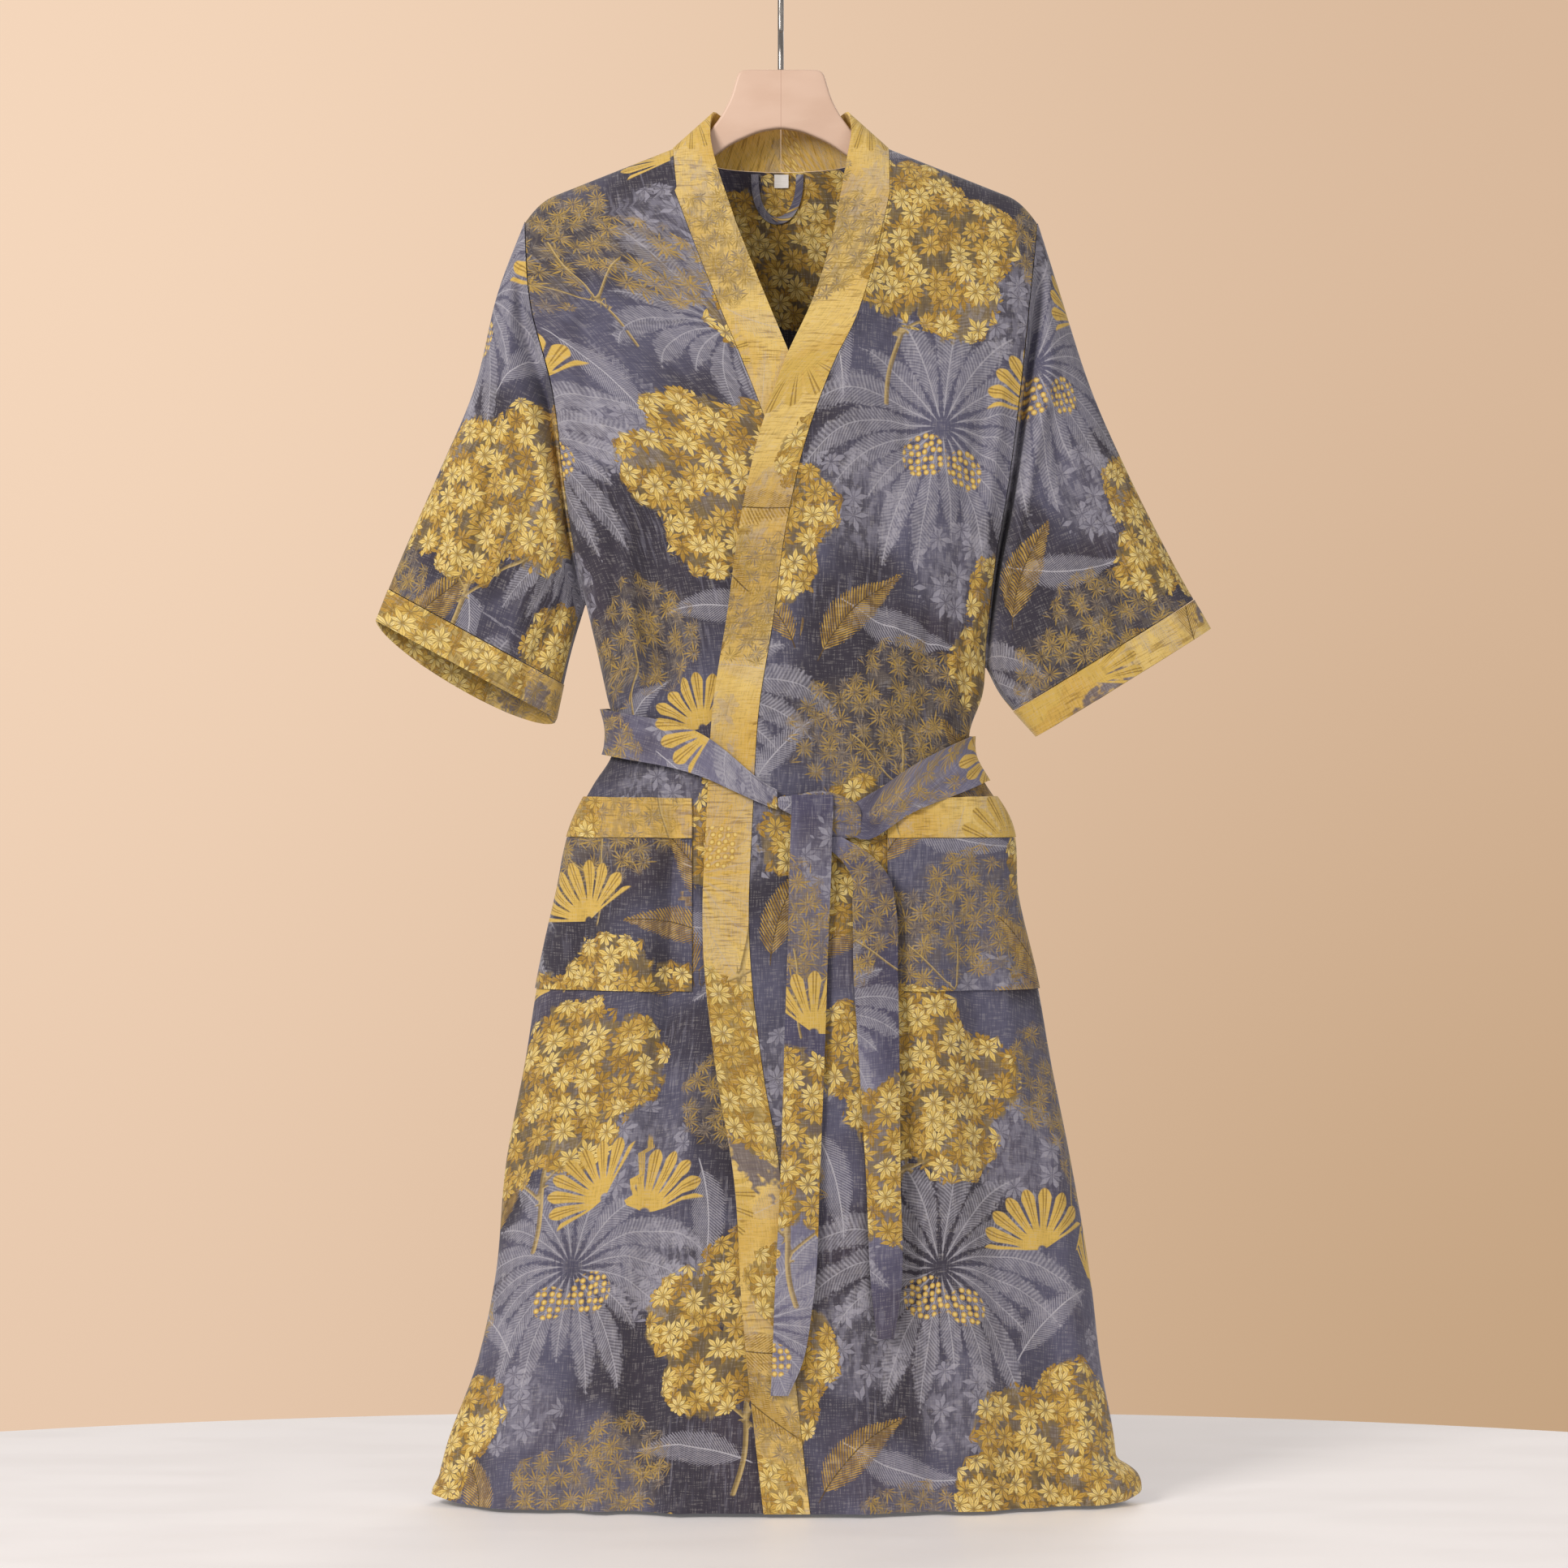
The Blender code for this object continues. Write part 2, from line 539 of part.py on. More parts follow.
def add_band(side, word, front, back):
    """Half of the neckband: up its front edge, over the shoulder and to the centre back."""
    name = "left" if side < 0 else "right"
    first, ring, ring_normals = neck_stations(side, front, back)
    low_rows = np.arange(len(LEVELS) - 1, first, -1)
    lift = LAYER if side > 0 else 0.0
    seam_low = front[0][low_rows, 0]
    free_x = column(FREE_EDGES, name, seam_low[:, 2])
    free_low = body(free_x, LEVELS[low_rows], -1, lift, folded=side > 0)
    free_low[:, 2] = seam_low[:, 2]
    run = np.append(0, np.cumsum(np.linalg.norm(np.diff(ring, axis=0), axis=1)))
    run /= run[-1]
    table = [(row.share, side * row.x, row.y - 0.3 * lift * (1 - row.share), row.z)
             for row in NECK_EDGE]
    step = run[1]
    table.insert(0, (-step, *free_low[-1]))
    free_high = through(table, run)
    free = np.concatenate([free_low, free_high])
    seam = np.concatenate([seam_low, ring])
    across = np.linspace(0, 1, 4)[None, :, None]
    points = seam[:, None] + (free - seam)[:, None] * across
    normals = grid_normals(points, (0, -0.2, 1))
    inward = free - seam
    inward /= np.linalg.norm(inward, axis=1, keepdims=True)
    points[:, 0] += inward * SEAM
    normals[:, 0] = np.concatenate([front[1][low_rows, 0], ring_normals])
    layer("band_" + word, points, normals, BAND_PROUD - BAND_THICK, BAND_PROUD, "trim")


def add_pocket(side, word, grid):
    """A patch pocket and the band along its mouth, laid on its front panel's own points."""
    points, normals = grid
    rows = [int(np.flatnonzero(np.isclose(LEVELS, level))[0]) for level in POCKET_LEVELS]
    columns = slice(FRONT_COLUMNS[0], sum(FRONT_COLUMNS) + 1)
    pocket = slice(rows[1], rows[2] + 1)
    layer("pocket_" + word, points[pocket, columns], normals[pocket, columns],
          POCKET_GAP, POCKET_GAP + POCKET_WALL, "cloth")
    band = points[rows[0]:rows[1] + 1, columns].copy()
    band[-1, :, 2] += SEAM
    layer("pocket_band_" + word, band, normals[rows[0]:rows[1] + 1, columns],
          POCKET_GAP, POCKET_GAP + POCKET_BAND_WALL, "trim")


def surface_at(x, z, face):
    """Points of the unfolded body surface at a place below the underarm."""
    return body(x, level_of(z), face, folded=False)


def add_belt_waist():
    """The belt round the waist, from the knot round the back and to the knot again."""
    across = np.array([-BELT_HALF, 0, BELT_HALF])[:, None]
    stretches = []
    for table, count, face in ((BELT_LEFT, BELT_STATIONS[0], -1), (BELT_RIGHT, BELT_STATIONS[2], -1)):
        side_row, knot_row = table[0], table[-1]
        name = "left" if side_row.x < 0 else "right"
        limit = abs(column(SIDES, name, side_row.z))
        turn = np.linspace(math.asin(knot_row.x / limit), math.copysign(math.pi / 2, side_row.x),
                           count)
        share = np.sin(turn)
        z = belt_line(share * limit, face) + across
        edge = column(SIDES, name, z)
        stretches.append((np.abs(edge) * share, z, face))
    back_turn = np.linspace(-math.pi / 2, math.pi / 2, BELT_STATIONS[1] + 2)[1:-1]
    share = np.sin(back_turn)
    middle, half = (BELT_LEFT[0].x + BELT_RIGHT[0].x) / 2, (BELT_RIGHT[0].x - BELT_LEFT[0].x) / 2
    z = belt_line(middle + half * share, 1) + across
    left, right = column(SIDES, "left", z), column(SIDES, "right", z)
    stretches.insert(1, ((left + right) / 2 + (right - left) / 2 * share, z, 1))
    stretches[2] = tuple(part[:, ::-1] if np.ndim(part) else part for part in stretches[2])
    points = np.concatenate([surface_at(x, z, face) for x, z, face in stretches], axis=1)
    centre = points.mean(axis=1, keepdims=True)
    normals = grid_normals(points, points - centre)
    normals[:, :, 2] *= 0.3
    normals /= np.linalg.norm(normals, axis=-1, keepdims=True)
    toward_front = smooth((BELT_OFF_FRONT - points[..., 1:2]) / (2 * BELT_OFF_FRONT))
    off = BELT_OFF_BACK + (BELT_OFF_FRONT - BELT_OFF_BACK) * toward_front
    from_knot = np.abs(points[..., :1] - KNOT.x) - KNOT.half_x
    near_knot = smooth(1 - from_knot / BELT_RISE_RUN) * (points[..., 1:2] < 0)
    off = off + BELT_RISE * near_knot
    wall("belt_waist", points + normals * (off + BELT_WALL), points + normals * off, "cloth")


def add_tail(name, table):
    """A hanging end of the belt: a strip that follows the front at its own distance."""
    heights = np.array([row.z for row in table], dtype=float)
    steps = np.concatenate([np.linspace(a, b, 2, endpoint=False)
                            for a, b in zip(heights[:-1], heights[1:])] + [heights[-1:]])
    left, right = column(table, "left", steps), column(table, "right", steps)
    off = column(table, "off", steps)
    share = np.linspace(0, 1, 4)
    x = left[:, None] + (right - left)[:, None] * share
    z = np.broadcast_to(steps[:, None], x.shape)
    points = surface_at(x, z, -1)
    points[..., 1] -= off[:, None]
    normals = grid_normals(points, (0, -1, 0))
    layer(name, points, normals, 0, TAIL_WALL, "cloth")


def add_knot():
    """The knot: a flattened lump with two soft grooves where the strip wraps round it."""
    turns, rings = 20, 11
    polar = np.linspace(0, math.pi, rings)[1:-1, None]
    angle = np.arange(turns)[None, :] * 2 * math.pi / turns
    groove = 1 - 0.10 * np.exp(-((np.cos(polar) - 0.25) / 0.2) ** 2)
    x = KNOT.half_x * np.cos(polar) * np.ones_like(angle)
    radius = np.sqrt(np.sin(polar)) * groove
    y = -KNOT.half_y * radius * np.sin(angle)
    z = KNOT.half_z * radius * np.cos(angle)
    front = surface_at(np.array(float(KNOT.x)), np.array(float(KNOT.z)), -1)
    middle = np.array([KNOT.x, front[1] - KNOT.off, KNOT.z])
    points = np.stack([x, y, z], axis=-1) + middle
    ends = np.array([[KNOT.half_x, 0, 0], [-KNOT.half_x, 0, 0]]) + middle
    rows, columns = points.shape[:2]
    triangles = grid_triangles(rows, columns, True)
    count = rows * columns
    ring = np.arange(columns)
    following = np.roll(ring, -1)
    first = np.stack([following, ring, np.full(columns, count)], axis=1)
    last = np.stack([ring, following, np.full(columns, count + 1)], axis=1)
    last[:, :2] += (rows - 1) * columns
    add_mesh("belt_knot", np.concatenate([points.reshape(-1, 3), ends]),
             np.concatenate([triangles, first, last]), "cloth")


def add_loop():
    """The hanging loop inside the back neck: a narrow strip on the back panel's inner face."""
    half_width, strip_half, drop = 19.0, 3.2, 38.0
    angle = np.linspace(0, math.pi, 13)
    middle_x, top_z = -3.0, NECK_BACK_Z - 2.0
    points = []
    for step in (-strip_half, strip_half):
        x = middle_x + (half_width + step) * np.cos(angle)
        z = top_z - (drop + step) * np.sin(angle) ** 0.8
        back = inside_back(x, z)
        points.append(back)
    points = np.array(points)
    inward = np.array([0.0, -1.0, 0.0])
    wall("hanging_loop", points + inward * (SEAM + 1.0), points + inward * SEAM, "cloth")


def inside_back(x, z):
    """Points just inside the back panel near the neck."""
    top = top_line(x, 1)
    level = (z - top) / (UNDERARM_Z - UNDERARM_TILT * x / UNDERARM_X - top)
    points = body(x, np.clip(level, 0, 1), 1)
    points[..., 1] -= WALL / 0.85
    return points


def add_label():
    """The small label at the back neck seam, left bare."""
    x = np.array([[-8.0, 4.0], [-8.0, 4.0]]) + 2.5
    z = np.array([[-166.0, -166.0], [-177.0, -177.0]])
    points = inside_back(x, z)
    inward = np.array([0.0, -1.0, 0.0])
    wall("size_label", points + inward * (SEAM + 1.0), points + inward * SEAM, "label")


def outline_plate(name, outline, half, chamfer, finish):
    """A plate cut to an outline in the XZ plane, with its edges chamfered front and back."""
    outline = np.asarray(outline, dtype=float)
    ahead = np.roll(outline, -1, axis=0) - outline
    behind = outline - np.roll(outline, 1, axis=0)
    tangent = ahead / np.linalg.norm(ahead, axis=1, keepdims=True)
    tangent += behind / np.linalg.norm(behind, axis=1, keepdims=True)
    tangent /= np.linalg.norm(tangent, axis=1, keepdims=True)
    inward = np.stack([-tangent[:, 1], tangent[:, 0]], axis=1)
    small = outline + inward * chamfer
    rings = []
    for flat, y in ((small, -half), (outline, chamfer - half), (outline, half - chamfer), (small, half)):
        rings.append(np.stack([flat[:, 0], np.full(len(flat), y), flat[:, 1]], axis=1))
    points = np.array(rings)
    made = bpy.data.meshes.new(name)
    rows, columns = points.shape[:2]
    caps = [list(range(columns)), list(range((rows - 1) * columns, rows * columns))[::-1]]
    sides = grid_triangles(rows, columns, True)[:, ::-1]
    made.from_pydata((points.reshape(-1, 3) * MM).tolist(), [], sides.tolist() + caps)
    made.update()
    made.materials.append(material(finish))
    plate = bpy.data.objects.new(name, made)
    bpy.context.scene.collection.objects.link(plate)
    return plate


def add_hanger():
    """The hanger: a neck plate and two arms under the shoulder ridge, with an arch between."""
    under_ridge = np.array([4.6, 3.8, 3.6, 3.6, 3.6, 3.6, 3.6])
    arm = np.array([92.0, 110.0, 132.0, 154.0, 176.0, 189.0, 198.0])
    arm_top = np.stack([arm, ridge(arm) - under_ridge], axis=1)
    tip = np.array([(203.0, -213.0), (203.0, -222.0), (198.5, -226.0)])
    arm_under = np.array([(185.0, -219.0), (160.0, -208.5), (130.0, -195.0), (105.0, -183.0),
                          (80.0, -170.0), (58.0, -156.5)])
    arch = np.array([(40.0, -144.0), (18.0, -134.5), (0.0, -131.5)])
    plate = np.array([(0.0, -83.0), (31.0, -83.0), (36.0, -86.0), (42.0, -107.0), (50.0, -122.0),
                      (60.0, -135.0), (70.0, -146.0), (82.0, -153.0)])
    right = np.concatenate([plate[1:], arm_top, tip, arm_under, arch[:-1]])
    left = right[::-1] * np.array([-1.0, 1.0])
    outline = np.concatenate([plate[:1], right, arch[-1:], left])
    outline_plate("hanger", outline[::-1], HANGER_HALF, HANGER_CHAMFER, "hanger")


def add_hook():
    """The hook: one wire from the hanger's top, back and over a rail, with its plane turned."""
    radius = HOOK_INNER + WIRE / 2
    centre_z = -HOOK_INNER
    stem = [(0.0, -82.6), (0.0, -74.0), (1.0, -66.0), (5.5, -56.0), (12.5, -46.0), (18.0, -34.0)]
    arc = [(radius * math.cos(angle), centre_z + radius * math.sin(angle))
           for angle in np.radians(np.linspace(-12, 192, 18))]
    end = [(-20.2, -32.0), (-19.4, -42.0), (-19.0, -53.0)]
    route = np.array(stem + arc + end)
    curve = bpy.data.curves.new("hook", "CURVE")
    curve.dimensions = "3D"
    curve.bevel_depth = WIRE / 2 * MM
    curve.bevel_resolution = 2
    curve.use_fill_caps = True
    line = curve.splines.new("POLY")
    line.points.add(len(route) - 1)
    for point, (y, z) in zip(line.points, route):
        point.co = (0.0, y * MM, z * MM, 1.0)
    made = bpy.data.objects.new("hook", curve)
    curve.materials.append(material("steel"))
    bpy.context.scene.collection.objects.link(made)


def main():
    """Build every piece of the robe and its hanger."""
    for old in list(bpy.data.objects):
        bpy.data.objects.remove(old)
    back = back_grid()
    fronts = {-1: front_grid(-1), 1: front_grid(1)}
    layer("back_panel", *back, -WALL, 0, "cloth")
    for side, word in ((-1, "left"), (1, "right")):
        layer("front_" + word, *fronts[side], -WALL, 0, "cloth")
        add_band(side, word, fronts[side], back)
        add_sleeve(side, word, fronts[side], back)
        add_pocket(side, word, fronts[side])
    add_belt_waist()
    add_knot()
    add_tail("belt_tail_front", TAIL_FRONT)
    add_tail("belt_tail_side", TAIL_SIDE)
    add_loop()
    add_label()
    add_hanger()
    add_hook()


main()
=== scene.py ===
"""Kimono robe on its hanger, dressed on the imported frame.

Lengths are millimetres until a mesh is made, in the frame of the CAD model: the origin is where a
rail bears inside the hook, +X is to the right seen from the front, the front faces -Y and +Z is up.

The cloth lies on one body surface. A point of that surface has an x, and a level that runs from 0 on
the shoulder ridge over 1 at the underarm to 2 at the hem. Every panel, band, pocket and belt is a
grid of such points with its creases, moved out or in along its normals.
"""
from __future__ import annotations

import logging  # noqa: E402
import math  # noqa: E402
from dataclasses import dataclass, field  # noqa: E402
from enum import Enum, IntEnum  # noqa: E402
from typing import Callable, Iterable, NamedTuple, Sequence  # noqa: E402

import bpy  # noqa: E402
import numpy as np  # noqa: E402
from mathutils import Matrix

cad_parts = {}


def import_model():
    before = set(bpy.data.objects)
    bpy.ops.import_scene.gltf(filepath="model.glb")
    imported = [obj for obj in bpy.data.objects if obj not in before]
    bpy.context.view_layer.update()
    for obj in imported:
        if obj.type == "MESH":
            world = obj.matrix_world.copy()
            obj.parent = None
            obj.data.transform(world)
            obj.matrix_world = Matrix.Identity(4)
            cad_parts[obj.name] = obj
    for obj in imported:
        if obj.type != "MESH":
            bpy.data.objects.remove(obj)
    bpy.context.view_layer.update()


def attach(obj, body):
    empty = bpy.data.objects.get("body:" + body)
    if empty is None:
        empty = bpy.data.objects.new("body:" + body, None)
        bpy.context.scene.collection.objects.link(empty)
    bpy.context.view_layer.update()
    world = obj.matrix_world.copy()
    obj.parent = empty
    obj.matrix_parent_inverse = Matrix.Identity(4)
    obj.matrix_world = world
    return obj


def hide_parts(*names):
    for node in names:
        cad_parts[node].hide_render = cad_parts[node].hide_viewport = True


LOG = logging.getLogger("robe")
Array = np.ndarray
MM = 0.001


class Face(IntEnum):
    """Which side of the middle plane a surface is on, as the sign of its y."""

    FRONT = -1
    BACK = 1


class Side(IntEnum):
    """Which side of the robe a piece is on, seen from the front, as the sign of its x."""

    LEFT = -1
    RIGHT = 1

    @property
    def word(self) -> str:
        """The side's name in a piece's name."""
        return "left" if self is Side.LEFT else "right"


class Slot(Enum):
    """The material slots."""

    CLOTH = "cloth"
    TRIM = "trim"
    BELT = "belt"
    LABEL = "label"
    HANGER = "hanger"
    HOOK = "hook"


class SideRow(NamedTuple):
    """The body's side line at a height: the armhole, then the side seam."""

    z: float
    left: float
    right: float


class DepthRow(NamedTuple):
    """How far the cloth stands before and behind the middle plane at a level."""

    level: float
    front: float
    back: float
    edge: float
    reach: float


class NeckRow(NamedTuple):
    """A point of the neckband's free edge round the neck."""

    share: float
    x: float
    y: float
    z: float


class Crease(NamedTuple):
    """A soft ridge (depth above 0) or trough (below 0) along a line from its top to its foot."""

    x_top: float
    z_top: float
    x_low: float
    z_low: float
    width: float
    depth: float


class SleeveCrease(NamedTuple):
    """A ridge or trough on a sleeve: shares of its length, and levels from top fold to underarm."""

    face: Face
    share_top: float
    level_top: float
    share_low: float
    level_low: float
    width: float
    depth: float


class TailRow(NamedTuple):
    """Left and right edge of a hanging belt end at a height, and how far off the front it is."""

    z: float
    left: float
    right: float
    off: float


class Cut(NamedTuple):
    """Where a piece lies on the printed cloth: across, down, and degrees by which it is turned."""

    across: float
    down: float
    turn: float = 0.0


class Lamp(NamedTuple):
    """A square soft light: its place and size in metres, its power in watts and its colour."""

    name: str
    place: tuple[float, float, float]
    size: float
    power: float
    colour: str


def rows_of(kind: type, *values: tuple) -> tuple:
    """Read plain rows as one kind of named row."""
    return tuple(kind(*row) for row in values)


SIDES = rows_of(
    SideRow, (-205, -214, 215), (-285, -207, 206), (-351, -190, 199), (-432, -180, 189),
    (-500, -170, 178), (-560, -156, 172), (-606, -146, 169), (-640, -139, 158), (-658, -142, 159),
    (-680, -156, 171), (-708, -171, 189), (-776, -188, 198), (-844, -203, 214), (-912, -214, 226),
    (-997, -230, 243), (-1099, -240, 260), (-1167, -255, 268), (-1235, -280, 280),
    (-1281, -291, 283),
)
DEPTHS = rows_of(
    DepthRow, (0, 44, 36, 30, 52), (0.3, 46, 39, 30, 54), (0.6, 48, 41, 27, 60),
    (0.85, 50, 43, 17, 74), (1, 50, 43, 0, 90), (1.14, 45, 38, 0, 90), (1.25, 51, 43, 0, 90),
    (1.6, 60, 50, 0, 90), (2, 66, 56, 0, 90),
)
FREE_EDGES = rows_of(
    SideRow, (-187, -48, 52), (-214, -38, 46), (-284, -10, 25), (-325, 7, 6), (-380, 27, -14),
    (-461, 42, -33), (-540, 52, -44), (-616, 59, -56), (-700, 62, -61), (-810, 62, -64),
    (-925, 55, -52), (-1000, 50, -39), (-1107, 46, -32), (-1210, 42, -22), (-1281, 40, -14),
)
NECK_EDGE = rows_of(
    NeckRow, (0.16, 55, -22, -160), (0.30, 59, -11, -135), (0.42, 57, 1, -119),
    (0.60, 47, 12, -121), (0.80, 26, 20, -125), (1, 0.3, 22, -126),
)
SLEEVE_TOPS = {
    Side.LEFT: ((0, -214, -212), (0.14, -235, -266), (0.36, -257, -351), (0.55, -286, -419),
                (0.75, -316, -487), (1, -339, -544)),
    Side.RIGHT: ((0, 215, -213), (0.14, 232, -266), (0.36, 260, -351), (0.55, 290, -419),
                 (0.75, 324, -487), (1, 360, -551)),
}
SLEEVE_UNDERS = {
    Side.LEFT: ((0, -163, -531), (0.5, -176, -572), (1, -188, -626)),
    Side.RIGHT: ((0, 171, -583), (0.5, 186, -609), (1, 214, -641)),
}
SLEEVE_DEPTHS = ((0, 28), (0.4, 30), (1, 27))
CUFF_TILT = {Side.LEFT: 20.0, Side.RIGHT: 2.0}

MAIN_FOLDS = {
    Face.FRONT: rows_of(
        Crease, (-150, -330, -122, -690, 15, 7), (-112, -430, -92, -650, 15, -9),
        (-176, -300, -146, -600, 13, 6), (176, -330, 146, -640, 13, -7),
        (150, -300, 120, -560, 20, 5), (-118, -690, -140, -900, 22, 6),
        (-178, -880, -235, -1290, 22, 8), (-98, -860, -128, -1290, 24, -8),
        (120, -700, 165, -1290, 26, 7), (196, -900, 232, -1290, 20, -7),
    ),
    Face.BACK: rows_of(
        Crease, (-120, -250, -95, -640, 22, 7), (0, -330, 5, -650, 26, -8),
        (118, -260, 92, -640, 22, 7), (-70, -680, -110, -1290, 34, 11),
        (15, -690, 10, -1290, 30, -9), (100, -680, 150, -1290, 34, 11),
        (-165, -720, -215, -1290, 26, -8), (185, -740, 235, -1290, 24, -8),
    ),
}
FINE_CREASES = {
    Face.FRONT: rows_of(
        Crease, (-128, -480, -112, -690, 7, 3.2), (-96, -540, -78, -690, 8, -3.4),
        (-140, -420, -133, -640, 6, -2.6), (-82, -560, -70, -690, 6, 2.4),
        (-186, -330, -160, -560, 7, 3.4), (-166, -250, -158, -420, 9, -2.2),
        (-150, -205, -120, -420, 12, 1.8), (-96, -235, -72, -480, 14, -1.8),
        (188, -320, 160, -560, 8, 4.6), (164, -420, 138, -650, 6, 2.8),
        (128, -500, 112, -660, 7, -2.4), (108, -430, 84, -650, 9, 1.9),
        (62, -250, 40, -520, 14, 1.2), (92, -240, 110, -430, 13, -1.8),
        (10, -460, 22, -680, 9, 1.2), (60, -470, 68, -690, 10, 1.1),
        (-86, -690, -96, -900, 8, -2.6), (-150, -700, -172, -900, 8, -2.8),
        (-104, -690, -118, -1000, 9, 2.4), (-200, -860, -262, -1290, 12, -3.2),
        (-150, -900, -176, -1290, 13, -2.8), (-76, -880, -88, -1290, 10, 2.2),
        (-118, -1000, -150, -1290, 10, 2.2), (92, -720, 112, -1100, 12, -2.2),
        (150, -740, 196, -1290, 13, -2.8), (176, -760, 218, -1100, 10, 2.4),
        (222, -930, 262, -1290, 12, 4.0), (8, -720, 20, -1150, 12, 1.2),
        (48, -760, 72, -1290, 14, 1.6), (106, -1000, 128, -1290, 13, -2.6),
        (150, -640, 120, -600, 9, 2.2), (-120, -230, -176, -300, 10, 2.0),
        (118, -215, 176, -285, 11, 2.2), (60, -880, 140, -960, 22, 1.2),
    ),
    Face.BACK: rows_of(
        Crease, (-150, -260, -128, -640, 12, -3.2), (-78, -280, -64, -650, 12, -3.0),
        (-40, -300, -34, -650, 13, 3.2), (42, -290, 40, -650, 13, 3.0),
        (80, -270, 66, -650, 12, -3.2), (150, -280, 124, -640, 12, -3.0),
        (-60, -190, -150, -300, 16, 2.4), (60, -190, 150, -300, 16, 2.2),
        (-120, -700, -170, -1290, 14, 3.6), (-36, -690, -52, -1290, 16, -3.6),
        (60, -690, 74, -1290, 15, -3.4), (134, -710, 192, -1290, 14, 3.8),
        (-190, -760, -250, -1290, 13, 3.4), (160, -900, 214, -1290, 12, 3.0),
        (30, -800, 42, -1290, 16, 3.2), (-86, -900, -140, -1290, 12, -2.8),
    ),
}
SLEEVE_CREASES = {
    Side.LEFT: rows_of(
        SleeveCrease, (-1, 0.05, 0.10, 0.03, 0.92, 15, -13), (-1, 0.17, 0.18, 0.14, 0.80, 16, 4.5),
        (-1, 0.30, 0.20, 0.62, 0.40, 17, -3.6), (-1, 0.40, 0.72, 0.98, 0.62, 15, 3.8),
        (-1, 0.30, 0.90, 0.92, 0.80, 12, -4.4), (-1, 0.50, 0.28, 1.00, 0.20, 15, 3.0),
        (-1, 0.22, 0.55, 0.75, 0.52, 14, -2.6), (1, 0.06, 0.15, 0.04, 0.9, 16, -10),
        (1, 0.20, 0.25, 0.90, 0.45, 18, 4.2), (1, 0.25, 0.70, 0.95, 0.72, 15, -3.8),
        (1, 0.45, 0.15, 1.00, 0.25, 14, -2.8),
    ),
    Side.RIGHT: rows_of(
        SleeveCrease, (-1, 0.05, 0.08, 0.03, 0.95, 15, -15), (-1, 0.18, 0.15, 0.15, 0.82, 16, 4.5),
        (-1, 0.26, 0.30, 0.80, 0.30, 18, -3.8), (-1, 0.35, 0.78, 1.00, 0.84, 14, 3.8),
        (-1, 0.32, 0.60, 0.95, 0.58, 16, -3.0), (-1, 0.50, 0.15, 1.00, 0.14, 12, 2.8),
        (-1, 0.40, 0.46, 1.00, 0.44, 13, 2.6), (1, 0.06, 0.15, 0.04, 0.9, 16, -10),
        (1, 0.22, 0.30, 0.95, 0.38, 18, 4.0), (1, 0.30, 0.68, 0.95, 0.60, 15, -3.8),
        (1, 0.50, 0.85, 1.00, 0.88, 13, 3.0),
    ),
}
HEM_CURL = ((1243, 0), (1247, 2.5), (1251, 9), (1256, 15.5), (1262, 19), (1268, 20), (1274, 18.5),
            (1278, 12), (1280, 8), (1284, 8))


BELT_LEFT = ((-139, -638), (-65, -657), (-2.8, -694))
BELT_RIGHT = ((158, -660), (115, -680), (66.8, -703))
TAIL_FRONT = rows_of(
    TailRow, (-690, 9, 43, 13.8), (-698, 9, 43, 14.5), (-724, 8, 42, 14.2), (-760, 7, 41, 11),
    (-806, 6, 39, 9), (-900, 3, 36, 8), (-1000, 0, 32, 8), (-1108, -5, 26, 8), (-1160, -7, 16, 8),
    (-1182, -8, 6, 8),
)
TAIL_SIDE = rows_of(
    TailRow, (-724.5, 24, 50, 7.8), (-738, 44, 72, 7.8), (-756, 58, 88, 7), (-780, 59, 94, 7),
    (-838, 60, 96, 6.5), (-900, 64, 97, 6.5), (-1000, 70, 98, 6.5), (-1108, 76, 97, 6.5),
    (-1136, 80, 92, 6.5),
)
# Chosen so that each piece shows whole plants in a good place.
CUTS = {
    "back_panel": Cut(1990, 0), "front_left": Cut(372, -233), "front_right": Cut(0, 0),
    "band_left": Cut(300, 0), "band_right": Cut(1400, 0),
    "sleeve_left": Cut(300, -60, 22), "sleeve_right": Cut(70, -20, -22),
    "cuff_left": Cut(100, -300, 30), "cuff_right": Cut(322, 506, -30),
    "pocket_left": Cut(1234, 400), "pocket_right": Cut(1234, 150),
    "pocket_band_left": Cut(310, 400), "pocket_band_right": Cut(310, 150),
    "belt_waist": Cut(-853, 43, 90), "belt_knot": Cut(24, 20),
    "belt_tail_front": Cut(-49, 490), "belt_tail_side": Cut(-338, 324),
    "hanging_loop": Cut(110, -230), "size_label": Cut(0, 0),
}
NO_STITCH_NEAR = 50.0
LAMPS = rows_of(
    Lamp, ("key_light", (-1.9, -2.2, 0.8), 1.1, 62, "fff9f4"),
    ("fill_light", (2.2, -2.4, -0.3), 2.0, 10, "fff8f2"),
    ("back_light", (0.8, 2.4, 0.8), 1.8, 16, "fff6ee"),
)


def smooth(share: Array | float) -> Array:
    """Rise from 0 to 1 with level ends, as 3s² - 2s³.

    Args:
        share: Where on the rise, clipped to 0 to 1.

    Returns:
        The risen value.
    """
    share = np.clip(share, 0, 1)
    return share * share * (3 - 2 * share)


